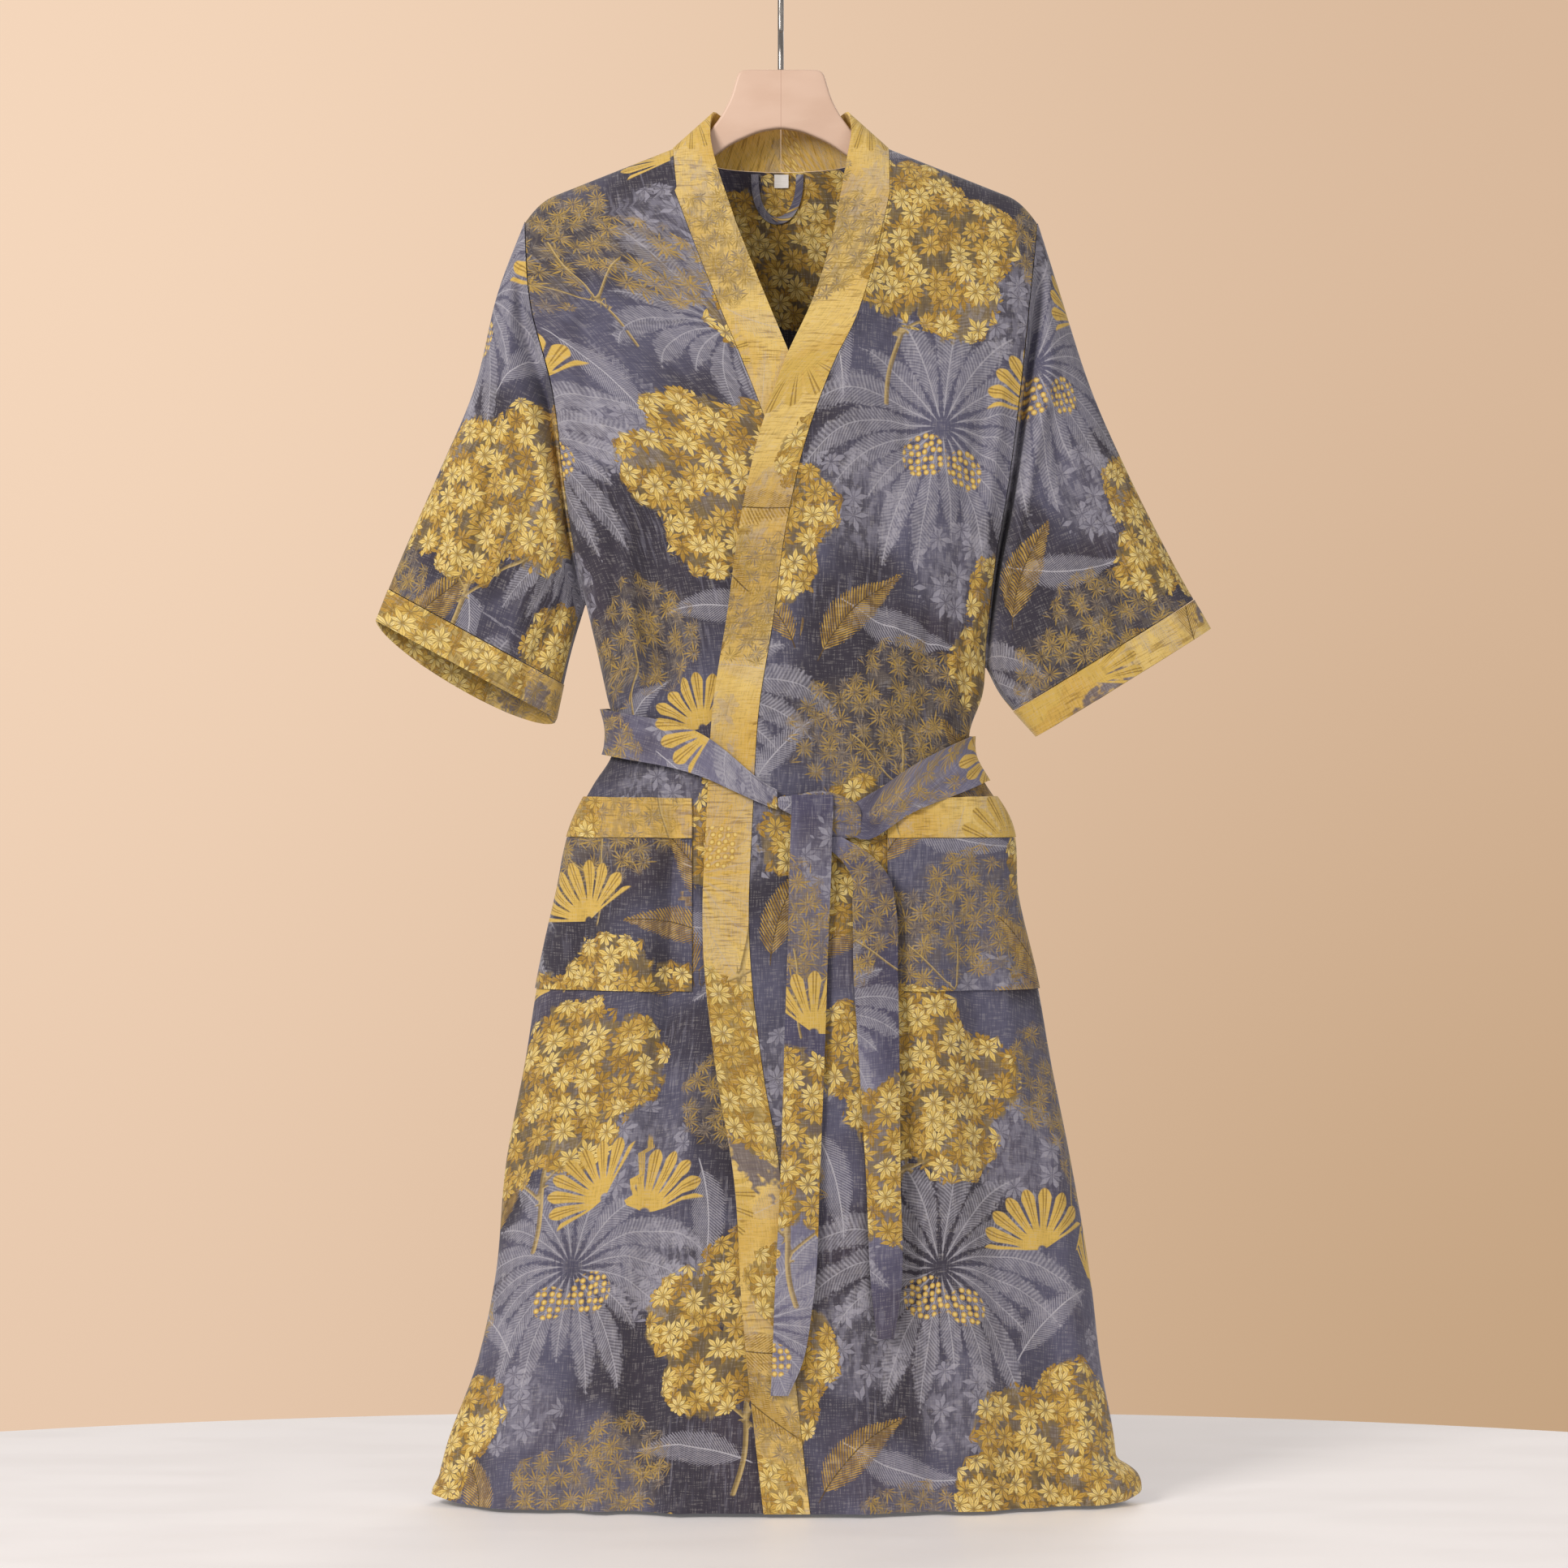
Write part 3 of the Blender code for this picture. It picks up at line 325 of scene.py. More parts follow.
def through(rows: Sequence[Sequence[float]], at: Array | float) -> Array:
    """Run a smooth curve through rows and read it: cubic pieces whose slopes are central differences.

    Args:
        rows: Rows of a place and one or more values there.
        at: Places to read.

    Returns:
        The values at those places, with one column dropped where there is only one.
    """
    table = np.array(rows, dtype=float)
    table = table[np.argsort(table[:, 0])]
    place = table[:, 0]
    slope = np.gradient(table[:, 1:], place, axis=0)
    at = np.clip(np.asarray(at, dtype=float), place[0], place[-1])
    low = np.clip(np.searchsorted(place, at, side="right") - 1, 0, len(place) - 2)
    span = (place[low + 1] - place[low])[..., None]
    s = (at - place[low])[..., None] / span
    start = table[low, 1:] * (1 + 2 * s) * (1 - s) ** 2 + slope[low] * span * s * (1 - s) ** 2
    end = table[low + 1, 1:] * s * s * (3 - 2 * s) + slope[low + 1] * span * s * s * (s - 1)
    value = start + end
    return value[..., 0] if value.shape[-1] == 1 else value


def column(table: Sequence[NamedTuple], name: str, at: Array | float) -> Array:
    """Read one named column of a table.

    Args:
        table: Rows whose first field is the place.
        name: The field to read.
        at: Places along the first field.

    Returns:
        The column's smooth values at those places.
    """
    return through([(row[0], getattr(row, name)) for row in table], at)


def unit(vectors: Array) -> Array:
    """Scale each vector to length 1."""
    return vectors / np.maximum(np.linalg.norm(vectors, axis=-1, keepdims=True), 1e-9)


def grid_normals(points: Array, toward: Array | tuple[float, ...], wrap: bool = False) -> Array:
    """Normals of a grid: the cross product of its two directions, turned to one side.

    Args:
        points: Grid of points.
        toward: Direction, or one for each point, that the normals share.
        wrap: Whether the columns close on themselves.

    Returns:
        One unit normal for each point.
    """
    if wrap:
        points = np.concatenate([points[:, -1:], points, points[:, :1]], axis=1)
    normals = np.cross(np.gradient(points, axis=1), np.gradient(points, axis=0))
    if wrap:
        normals = normals[:, 1:-1]
    normals = unit(normals)
    return -normals if np.sum(normals * toward) < 0 else normals


def arc(points: Array, axis: int) -> Array:
    """Running length along a grid's rows or columns, from 0 at the first point."""
    steps = np.linalg.norm(np.diff(points, axis=axis), axis=-1)
    pad = [(0, 0), (0, 0)]
    pad[axis] = (1, 0)
    return np.cumsum(np.pad(steps, pad), axis=axis)


@dataclass
class ClothGrid:
    """A piece of cloth as a grid of points, with its normals and its place on the flat cloth."""

    points: Array
    normals: Array
    wrap: bool = False
    flat: Array | None = None
    stitch: Array | None = None
    depth_share: float = 0.6
    lean: float = 0.5
    least_side: float = 0.01
    least_area: float = 0.31
    most_area: float = 0.985

    @property
    def closed(self) -> Array:
        """The points, with a tube's first column again after its last."""
        if self.wrap:
            return np.concatenate([self.points, self.points[:, :1]], axis=1)
        return self.points

    def lay(self, u: Array, v: Array, cut: Cut) -> None:
        """Turn each point's place by the cut's angle and move it to where the piece is cut.

        Args:
            u: Places across before that.
            v: Places down.
            cut: Where the piece lies on the printed cloth.
        """
        a = math.radians(cut.turn)
        self.flat = np.stack([cut.across + u * math.cos(a) - v * math.sin(a),
                              cut.down + u * math.sin(a) + v * math.cos(a)], axis=-1)

    def lay_flat(self, cut: Cut) -> None:
        """Give each point its place on the printed cloth by running lengths both ways."""
        points = self.points
        self.lay(arc(points, 1) + points[:, :1, 0], points[:1, :, 2] - arc(points, 0), cut)

    def lay_plane(self, cut: Cut) -> None:
        """Give each point its place by its x and z, and a part of its depth, as it hangs flat."""
        points = self.closed
        self.lay(points[..., 0], points[..., 2], cut)
        self.flat[..., 0] += self.depth_share * points[..., 1]

    def lay_over(self, cut: Cut, fold: Array) -> None:
        """Give each point its place for a tube that hangs from a fold: the back is opened about it.

        The fold moves out by the tube's half thickness, and the round parts move with it, so that
        the print isn't stretched over the fold.

        Args:
            cut: Where the piece lies on the printed cloth.
            fold: The fold's two ends, as x and z.
        """
        points = self.closed
        along = unit(fold[1] - fold[0])
        out = np.array([along[1], -along[0]]) * np.sign(fold[1, 0] * along[1])
        place, deep = points[..., [0, 2]], np.abs(points[..., 1])
        half = deep.max(axis=1, keepdims=True)
        inward = -(place - fold[0]) @ out
        upper = np.where(inward < inward.max(axis=1, keepdims=True) / 2, 1.0, -1.0)
        inward = inward - upper * (half - deep)
        far = np.where(points[..., 1] < 0, -inward, inward + 2 * half)
        place = fold[0] + ((place - fold[0]) @ along)[..., None] * along + far[..., None] * out
        self.lay(place[..., 0], place[..., 1], cut)

    def lay_hung(self, cut: Cut) -> None:
        """Give each point its place by running length across, and by height and lean downward."""
        points = self.points
        down = cut.down + points[..., 2] - self.lean * np.abs(points[..., 1])
        self.flat = np.stack([cut.across + (arc(points, 1) + points[:, :1, 0]), down], axis=-1)

    def mark_stitch(self, **insets: float) -> None:
        """Give each point its distance in millimetres from the nearest line of stitches.

        Args:
            insets: How far in from the first, last, left or right edge each line runs.
        """
        down, across = arc(self.closed, 0), arc(self.closed, 1)
        edges = {"first": down, "last": down[-1:] - down, "left": across,
                 "right": across[:, -1:] - across}
        lines = [np.abs(edges[key] - inset) for key, inset in insets.items()]
        self.stitch = np.minimum(np.min(lines, axis=0), NO_STITCH_NEAR)

    def size(self) -> tuple[float, float, float]:
        """The flat cut's width, length and area in metres: longest row, longest column, cell areas."""
        points = self.closed
        cells = np.cross(points[1:, 1:] - points[:-1, :-1], points[:-1, 1:] - points[1:, :-1])
        area = 0.5 * np.linalg.norm(cells, axis=-1).sum() * MM * MM
        width = max(arc(points, 1)[:, -1].max() * MM, self.least_side)
        length = max(arc(points, 0)[-1].max() * MM, self.least_side)
        box = width * length
        return width, length, min(max(area, self.least_area * box), self.most_area * box)


class Maker:
    """Turns grids into closed cloth walls with what their finish needs on their corners."""

    @staticmethod
    def quads(rows: int, columns: int) -> Array:
        """One face for each cell of a grid, as four places in it."""
        index = np.arange(rows * columns).reshape(rows, columns)
        return np.stack([index[:-1, :-1], index[:-1, 1:], index[1:, 1:], index[1:, :-1]],
                        axis=-1).reshape(-1, 4)

    @staticmethod
    def mesh(name: str, points: Array, faces: Sequence, sharp: float = 50.0) -> bpy.types.Object:
        """Make an object at the origin from points in millimetres.

        Args:
            name: Name of the object and its mesh.
            points: Points, one row each.
            faces: Faces as places in the points.
            sharp: Angle in degrees past which an edge isn't smoothed.

        Returns:
            The linked object.
        """
        made = bpy.data.meshes.new(name)
        made.from_pydata((np.asarray(points) * MM).tolist(), [],
                         faces.tolist() if isinstance(faces, np.ndarray) else faces)
        made.update()
        made.shade_smooth()
        made.set_sharp_from_angle(angle=math.radians(sharp))
        piece = bpy.data.objects.new(name, made)
        bpy.context.scene.collection.objects.link(piece)
        return piece

    @classmethod
    def wall(cls, name: str, grid: ClothGrid, outer: Array, inner: Array) -> bpy.types.Object:
        """A closed wall between two grids of one shape: both faces and the rims between them.

        Args:
            name: Name of the piece.
            grid: The cloth grid that the wall stands for.
            outer: The outer face's points.
            inner: The inner face's points.

        Returns:
            The linked object, with its faces pointing out.
        """
        rows, columns = outer.shape[:2]
        wide = columns + int(grid.wrap)
        face = cls.quads(rows, wide)
        index = np.arange(rows * wide).reshape(rows, wide)
        if grid.wrap:
            rims = [index[0], index[-1][::-1]]
        else:
            rims = [np.concatenate([index[0], index[1:, -1], index[-1, -2::-1], index[-2::-1, 0]])]
        count = rows * wide
        parts = [face, face[:, ::-1] + count]
        parts += [np.stack([rim[1:], rim[:-1], rim[:-1] + count, rim[1:] + count], axis=1)
                  for rim in rims]
        layer, place = np.divmod(np.concatenate(parts), count)
        row, col = np.divmod(place, wide)
        real = layer * rows * columns + row * columns + col % columns
        return cls.shell(name, grid, np.concatenate([outer.reshape(-1, 3), inner.reshape(-1, 3)]),
                         real, place)

    @classmethod
    def shell(cls, name: str, grid: ClothGrid, points: Array, faces: Array,
              place: Array) -> bpy.types.Object:
        """A closed shell with its faces turned out and the print's values on their corners.

        Args:
            name: Name of the piece.
            grid: Its grid.
            points: Its points.
            faces: Its quads, as places in the points.
            place: For each quad's corners, their places in the grid with its closing column.

        Returns:
            The linked object.
        """
        a, b, c, d = (points[faces[:, i]] - points.mean(axis=0) for i in range(4))
        volume = np.einsum("ij,ij->", a, np.cross(b, c)) + np.einsum("ij,ij->", a, np.cross(c, d))
        if volume < 0:
            faces, place = faces[:, ::-1], place[:, ::-1]
        piece = cls.mesh(name, points, faces)
        for key, values in Print().corner_values(grid).items():
            data = piece.data.attributes.new(key, "FLOAT_VECTOR", "CORNER")
            data.data.foreach_set("vector", values[place.ravel()].astype(np.float32).ravel())
        return piece

    @classmethod
    def lump(cls, name: str, grid: ClothGrid) -> bpy.types.Object:
        """A closed lump: a tube of rings, with its two end rings filled by quads across them."""
        rows, columns = grid.points.shape[:2]
        half = np.arange(columns // 2)
        first = np.stack([half, half + 1, columns - half - 1, columns - half], axis=1)[:-1]
        place = np.concatenate([cls.quads(rows, columns + 1), first[:, ::-1],
                                first + (rows - 1) * (columns + 1)])
        row, col = np.divmod(place, columns + 1)
        return cls.shell(name, grid, grid.points.reshape(-1, 3), row * columns + col % columns, place)

    @classmethod
    def layer(cls, name: str, grid: ClothGrid, low: Array | float,
              high: Array | float) -> bpy.types.Object:
        """A cloth wall whose inner and outer faces lie at two distances from a grid."""
        return cls.wall(name, grid, grid.points + grid.normals * high,
                        grid.points + grid.normals * low)

    @classmethod
    def tube(cls, name: str, rings: Array, sharp: float) -> bpy.types.Object:
        """A solid through rings of points, closed by a flat face at each end.

        Args:
            name: Name of the piece.
            rings: Points in the last axis, one row for each ring.
            sharp: Angle in degrees past which an edge isn't smoothed.

        Returns:
            The linked object.
        """
        rows, columns = rings.shape[:2]
        row, col = np.divmod(cls.quads(rows, columns + 1), columns + 1)
        sides = row * columns + col % columns
        ends = [list(range(columns))[::-1], list(range((rows - 1) * columns, rows * columns))]
        return cls.mesh(name, rings.reshape(-1, 3), sides.tolist() + ends, sharp)


class Blob(NamedTuple):
    """A round part of a tree's crown, or of a bunch of berries, on the flat cloth."""

    x: float
    y: float
    radius: float


class Frond(NamedTuple):
    """A feathered leaf: its foot, the way it points in degrees, its length and its bend."""

    x: float
    y: float
    angle: float
    length: float
    bend: float


class Spray(NamedTuple):
    """A palm's crown or a fan leaf: its middle, its size and the way it points in degrees."""

    x: float
    y: float
    size: float
    angle: float = 90.0


class Stem(NamedTuple):
    """A length of trunk or branch between two points, and half its width."""

    x0: float
    y0: float
    x1: float
    y1: float
    half: float


@dataclass(frozen=True)
class Print:
    """The generic plant print: where each motif lies on the flat cloth, in one repeat."""

    repeat: tuple[float, float] = (640.0, 700.0)
    leafy: tuple[Blob, ...] = rows_of(
        Blob, (-262, -242, 42), (-198, -230, 45), (-232, -292, 49), (-164, -288, 39),
        (-290, -304, 35), (58, -232, 40), (112, -212, 45), (166, -246, 42), (96, -274, 44),
        (150, -298, 40), (-98, -470, 42), (-44, -450, 45), (10, -480, 40), (-60, -514, 45),
        (-4, -528, 37), (204, -540, 42), (258, -518, 45), (300, -566, 40), (236, -592, 45),
        (180, -594, 34), (-284, -660, 40), (-226, -650, 44), (-174, -680, 37), (-246, -708, 45),
        (-194, -732, 37), (18, -752, 39), (70, -738, 42), (120, -768, 39), (56, -794, 42),
    )
    misty: tuple[Blob, ...] = rows_of(
        Blob, (-118, -246, 46), (-306, -356, 42), (8, -252, 42), (206, -302, 46), (62, -474, 46),
        (-124, -544, 44), (156, -524, 44), (304, -470, 42), (-146, -640, 42), (-300, -764, 44),
        (134, -716, 42), (-32, -752, 42),
    )
    starry: tuple[Blob, ...] = rows_of(
        Blob, (-62, -300, 54), (-12, -342, 48), (252, -238, 56), (292, -296, 46), (-244, -456, 56),
        (-294, -500, 44), (-196, -500, 42), (112, -638, 56), (52, -664, 48), (170, -660, 40),
        (-120, -806, 48), (-70, -826, 40),
    )
    berries: tuple[Blob, ...] = rows_of(
        Blob, (124, -430, 20), (160, -440, 17), (-88, -656, 19), (-54, -664, 15),
    )
    crowns: tuple[Spray, ...] = rows_of(
        Spray, (140, -408, 132), (-70, -634, 122), (-312, -560, 96), (282, -772, 112),
    )
    fans: tuple[Spray, ...] = rows_of(
        Spray, (-132, -592, 54, 96), (-98, -578, 50, 40), (232, -384, 54, 110), (282, -402, 48, 50),
        (-22, -396, 52, 70), (-160, -188, 46, 70), (196, -846, 54, 120), (230, -838, 46, 40),
    )
    gold_fronds: tuple[Frond, ...] = rows_of(
        Frond, (206, -712, 78, 104, 0.25), (200, -712, 118, 96, -0.25), (216, -718, 34, 96, 0.35),
        (196, -722, 160, 90, -0.3), (-150, -398, 70, 96, 0.3), (-164, -398, 116, 92, -0.25),
        (-140, -408, 26, 84, 0.3), (36, -596, 60, 92, 0.3), (10, -590, 112, 60, -0.3),
        (-8, -850, 84, 84, 0.3), (20, -856, 44, 92, 0.25), (-310, -850, 74, 76, 0.25),
    )
    grey_plumes: tuple[Frond, ...] = rows_of(
        Frond, (-120, -350, 200, 92, 0.3), (30, -300, 300, 92, 0.3), (60, -560, 330, 96, -0.3),
        (-180, -560, 250, 92, -0.3), (250, -640, 300, 88, 0.3), (150, -826, 200, 90, -0.25),
        (-230, -800, 20, 92, 0.25), (-210, -360, 300, 84, -0.25), (210, -470, 60, 84, 0.3),
        (-20, -700, 60, 70, 0.3), (260, -180, 30, 80, 0.3), (-60, -190, 160, 84, 0.3),
    )
    stems: tuple[Stem, ...] = rows_of(
        Stem, (-226, -300, -216, -420, 2.2), (-222, -350, -262, -300, 1.4),
        (-220, -366, -172, -310, 1.4), (108, -290, 92, -384, 2.0), (100, -330, 146, -306, 1.3),
        (-50, -524, -36, -616, 2.2), (-44, -560, -92, -506, 1.3), (-40, -580, 4, -536, 1.3),
        (240, -600, 256, -700, 2.2), (248, -650, 292, -592, 1.3), (246, -636, 196, -598, 1.3),
        (-238, -716, -226, -826, 2.2), (-232, -772, -198, -736, 1.3), (-234, -760, -282, -690, 1.3),
        (62, -800, 70, -872, 1.8), (-40, -330, -30, -396, 1.0), (-34, -368, -8, -344, 0.8),
        (-240, -480, -232, -570, 1.1), (-236, -530, -276, -506, 0.8), (-236, -540, -200, -508, 0.8),
        (100, -660, 104, -726, 1.0), (102, -700, 60, -668, 0.8), (-100, -820, -96, -876, 1.0),
        (264, -262, 262, -352, 1.1),
    )
    frond_half: float = 0.2
    stem_sway: float = 3.0
    stem_wave: float = 17.0

    def away(self, flat: Array, x: float, y: float) -> Array:
        """Offset of each place from the nearest repeat of a point."""
        repeat = np.array(self.repeat)
        offset = flat - np.array([x, y])
        return offset - repeat * np.round(offset / repeat)

    def cover(self, flat: Array, blobs: Sequence[Blob]) -> Array:
        """How far inside the blobs each place is: 1 less the distance over the radius, at most."""
        found = np.full(flat.shape[:-1], -1.0)
        for blob in blobs:
            far = np.linalg.norm(self.away(flat, blob.x, blob.y), axis=-1) / blob.radius
            found = np.maximum(found, 1 - far)
        return found

    @staticmethod
    def nearest(readings: Iterable[tuple[Array, Array]]) -> tuple[Array, Array]:
        """At each place keep the nearest motif's reading, and its distance."""
        best, found = np.inf, 0.0
        for own, far in readings:
            found = np.where((far < best)[..., None], own, found)
            best = np.minimum(best, far)
        return found, best

    def spray(self, flat: Array, spray: Spray) -> tuple[Array, Array]:
        """Place in a spray's own axes, in parts of its size, and its distance so."""
        turn = math.radians(90 - spray.angle)
        offset = self.away(flat, spray.x, spray.y) / spray.size
        own = np.stack([offset[..., 0] * math.cos(turn) - offset[..., 1] * math.sin(turn),
                        offset[..., 0] * math.sin(turn) + offset[..., 1] * math.cos(turn)], -1)
        far = np.linalg.norm(own, axis=-1)
        return np.concatenate([own, far[..., None]], axis=-1), far

    def frond(self, flat: Array, frond: Frond) -> tuple[Array, Array]:
        """A frond bent as a parabola.

        Args:
            flat: Places on the flat cloth.
            frond: The frond.

        Returns:
            Share along, millimetres across and length; and how far out of its lens a place is.
        """
        turn = math.radians(frond.angle)
        offset = self.away(flat, frond.x, frond.y)
        along = offset[..., 0] * math.cos(turn) + offset[..., 1] * math.sin(turn)
        across = offset[..., 1] * math.cos(turn) - offset[..., 0] * math.sin(turn)
        across = across + frond.bend * along ** 2 / frond.length
        share = along / frond.length
        far = np.maximum(np.abs(across) / (self.frond_half * frond.length), np.abs(2 * share - 1))
        return np.stack([share, across, np.full(share.shape, frond.length)], axis=-1), far

    def stem(self, flat: Array, stem: Stem) -> tuple[Array, Array]:
        """Signed and plain distance to a stem, and half its width, in millimetres."""
        line = np.array([stem.x1 - stem.x0, stem.y1 - stem.y0])
        length = float(np.linalg.norm(line))
        line = line / length
        offset = self.away(flat, (stem.x0 + stem.x1) / 2, (stem.y0 + stem.y1) / 2)
        along = offset @ line
        across = offset[..., 1] * line[0] - offset[..., 0] * line[1]
        across = across + self.stem_sway * np.sin(along / self.stem_wave)
        far = np.hypot(across, np.maximum(np.abs(along) - length / 2, 0))
        return np.stack([across, far, np.full(far.shape, stem.half)], axis=-1), far

    def corner_values(self, grid: ClothGrid) -> dict[str, Array]:
        """Values that the cloth's finish reads, one row for each place of the grid.

        Args:
            grid: A cloth grid whose flat places are known.

        Returns:
            Three numbers for each place under each attribute's name.
        """
        flat, stitch = grid.flat, grid.stitch
        if stitch is None:
            stitch = np.full(flat.shape[:2], NO_STITCH_NEAR)
        gold, gold_far = self.nearest(self.frond(flat, one) for one in self.gold_fronds)
        grey, grey_far = self.nearest(self.frond(flat, one) for one in self.grey_plumes)
        values = {
            "cloth": np.concatenate([flat * MM, stitch[..., None]], axis=-1),
            "groves": np.stack([self.cover(flat, blobs)
                                for blobs in (self.leafy, self.misty, self.starry)], axis=-1),
            "crown": self.nearest(self.spray(flat, one) for one in self.crowns)[0],
            "fan": self.nearest(self.spray(flat, one) for one in self.fans)[0],
            "frond": gold,
            "plume": grey,
            "guard": np.stack([self.cover(flat, self.berries), gold_far, grey_far], axis=-1),
            "stem": self.nearest(self.stem(flat, one) for one in self.stems)[0],
        }
        return {key: value.reshape(-1, 3) for key, value in values.items()}


@dataclass(frozen=True)
class RobeForm:
    """The robe's body surface: its sizes, and a point for each x and level."""

    wall: float = 1.2
    seam: float = 0.4
    layer: float = 2.6
    layer_full_x: float = 66.0
    layer_ends_x: float = 88.0
    ridge_near_x: float = 85.0
    ridge_near_z: float = -147.0
    ridge_slope: float = 0.395
    ridge_turn_x: float = 190.0
    ridge_turn: float = 0.022
    ridge_round: float = 115.0
    neck_side_x: float = 90.0
    neck_back_z: float = -164.0
    neck_back_rise: float = 15.0
    underarm_z: float = -557.0
    underarm_tilt: float = 26.0
    underarm_x: float = 165.0
    tilt_ends: float = 0.10
    hem_z: float = -1280.0
    band_width: float = 38.0
    belt_sag: float = 6.0
    belt_half: float = 19.0
    fold_fade: float = 0.22
    press_near: float = 24.0
    press_run: float = 40.0
    crease_gain: float = 2.5
    chest_rows: int = 96
    skirt_rows: int = 168
    hem_from: float = 1.945
    hem_rows: int = 21
    gather_clear: float = 4.0
    gather_run: float = 30.0
    neck_corner: float = 38.0
    pocket_levels: tuple[float, ...] = (1.188, 1.234, 1.408)

    def levels(self) -> Array:
        """Levels of every row: crowded at the shoulder, even below, with the pockets' own rows."""
        chest = np.linspace(0, 1, self.chest_rows) ** 1.5
        skirt = np.linspace(1, 2, self.skirt_rows)[1:]
        skirt = np.concatenate([skirt[skirt < self.hem_from],
                                np.linspace(self.hem_from, 2, self.hem_rows)])
        near = np.abs(skirt[:, None] - np.array(self.pocket_levels)).min(axis=1) < 0.003
        return np.concatenate([chest, np.sort(np.concatenate([skirt[~near], self.pocket_levels]))])

    def ridge(self, x: Array) -> Array:
        """Height of the shoulder ridge: a straight slope that drops as a square past the shoulder."""
        far = np.maximum(np.abs(x) - self.ridge_turn_x, 0)
        return (self.ridge_near_z - self.ridge_slope * (np.abs(x) - self.ridge_near_x)
                - self.ridge_turn * far ** 2)

    def top_line(self, x: Array, face: Face) -> Array:
        """Height where a panel starts: the ridge, or the neckline cut in the back."""
        if face == Face.FRONT:
            return self.ridge(x)
        share = np.abs(x) / self.neck_side_x
        neckline = self.neck_back_z + self.neck_back_rise * share ** 3
        return np.where(share < 1, np.minimum(neckline, self.ridge(x)), self.ridge(x))

    def height(self, x: Array, level: Array, face: Face) -> Array:
        """Height of a level at x: it follows the shoulder at the top and turns level below it."""
        tilt = -self.underarm_tilt * x / self.underarm_x
        top = self.top_line(x, face)
        below = np.clip(level - 1, 0, 1)
        chest = top + (self.underarm_z + tilt - top) * np.clip(level, 0, 1)
        skirt = (self.underarm_z + (self.hem_z - self.underarm_z) * below
                 + tilt * (1 - smooth(below / self.tilt_ends)))
        return np.where(level <= 1, chest, skirt)

    def level_of(self, z: Array) -> Array:
        """Level of a height below the waist's start, where levels lie flat."""
        return 1 + (z - self.underarm_z) / (self.hem_z - self.underarm_z)

    def belt_line(self, x: Array, face: Face) -> Array:
        """Height of the belt's middle line at x: two front stretches, and a sine sag at the back."""
        x = np.asarray(x, dtype=float)
        if face == Face.FRONT:
            return through(BELT_LEFT + BELT_RIGHT, x)
        (x0, z0), (x1, z1) = BELT_LEFT[0], BELT_RIGHT[0]
        share = np.clip((x - x0) / (x1 - x0), 0, 1)
        return z0 + (z1 - z0) * share - self.belt_sag * np.sin(math.pi * share)

    def folds(self, x: Array, z: Array, face: Face) -> Array:
        """Outward displacement by folds and creases, each a bell curve across its line.

        The belt presses them flat, and just off it the cloth is gathered in small uneven pleats: a
        sine of a wavering x that dies away from the belt.

        Args:
            x: Places across.
            z: Heights.
            face: Front or back.

        Returns:
            Millimetres outward at each place.
        """
        off_belt = np.abs(z - self.belt_line(x, face))
        pressed = smooth((off_belt - self.press_near) / self.press_run)
        total = np.zeros(np.broadcast(x, z).shape)
        for gain, creases in ((1.0, MAIN_FOLDS[face]), (self.crease_gain, FINE_CREASES[face])):
            for fold in creases:
                run = (fold.z_top - z) / (fold.z_top - fold.z_low)
                middle = fold.x_top + (fold.x_low - fold.x_top) * run
                fade = smooth(run / self.fold_fade) * smooth((1.0 - run) / self.fold_fade + 0.6)
                total += gain * fold.depth * fade * np.exp(-((x - middle) / fold.width) ** 2)
        wave = np.sin(x / 4.9 + 1.7 * np.sin(x / 21.0 + face) + 0.6 * np.sin(x / 9.0 + z / 40.0))
        size = (0.6 + 0.4 * np.sin(x / 31.0 + 2.0 * face)) * (1.3 if face == Face.FRONT else 0.8)
        gather = size * wave * np.exp(-np.maximum(off_belt - self.belt_half, 0) / self.gather_run)
        gather = gather * smooth((off_belt - self.gather_clear) / self.belt_half)
        drift = (1.1 * np.sin(x / 23.0 + z / 61.0) * np.sin(z / 37.0 + face)
                 + 0.75 * np.sin(x / 11.0 - z / 83.0 + 2.0) * np.sin(z / 19.0 - x / 47.0)
                 + 0.28 * np.sin(x / 5.3 + z / 29.0 + np.sin(z / 23.0)) * np.sin(z / 13.0 + x / 31.0))
        return total * pressed + gather + drift * pressed

    def body(self, x: Array, level: Array, face: Face, lift: Array | float = 0.0,
             folded: bool = True) -> Array:
        """Points of the robe's outer surface on the front or the back.

        A section is an arc of a circle's bow between the armholes, its edge at the edge depth, and
        its top closes on the shoulder ridge along a quarter circle.

        Args:
            x: Places across.
            level: Level of each place.
            face: Front or back.
            lift: Millimetres to stand off.
            folded: Whether the folds are on it.

        Returns:
            Points, with x, y and z in the last axis.
        """
        x = np.asarray(x, dtype=float)
        level = np.broadcast_to(np.asarray(level, dtype=float), x.shape)
        z = self.height(x, level, face)
        left, right = column(SIDES, "left", z), column(SIDES, "right", z)
        turn = np.clip((2 * x - left - right) / (right - left), -1, 1)
        reach = np.radians(column(DEPTHS, "reach", level))
        edge = np.clip(column(DEPTHS, "edge", level), 0, None)
        depth = column(DEPTHS, "front" if face == Face.FRONT else "back", level)
        bow = np.sqrt(1 - (turn * np.sin(reach)) ** 2) - np.cos(reach)
        bow = np.clip(bow / (1 - np.cos(reach)), 0, 1)
        drop = np.clip((self.ridge(x) - z) / self.ridge_round, 0, 1)
        out = (edge + (depth - edge) * bow) * np.sqrt(1 - (1 - drop) ** 2)
        if folded:
            out = out + self.folds(x, z, face) * np.sqrt(bow) * smooth(drop * 3)
        return np.stack([x, face * (self.seam / 2 + out + lift), z], axis=-1)

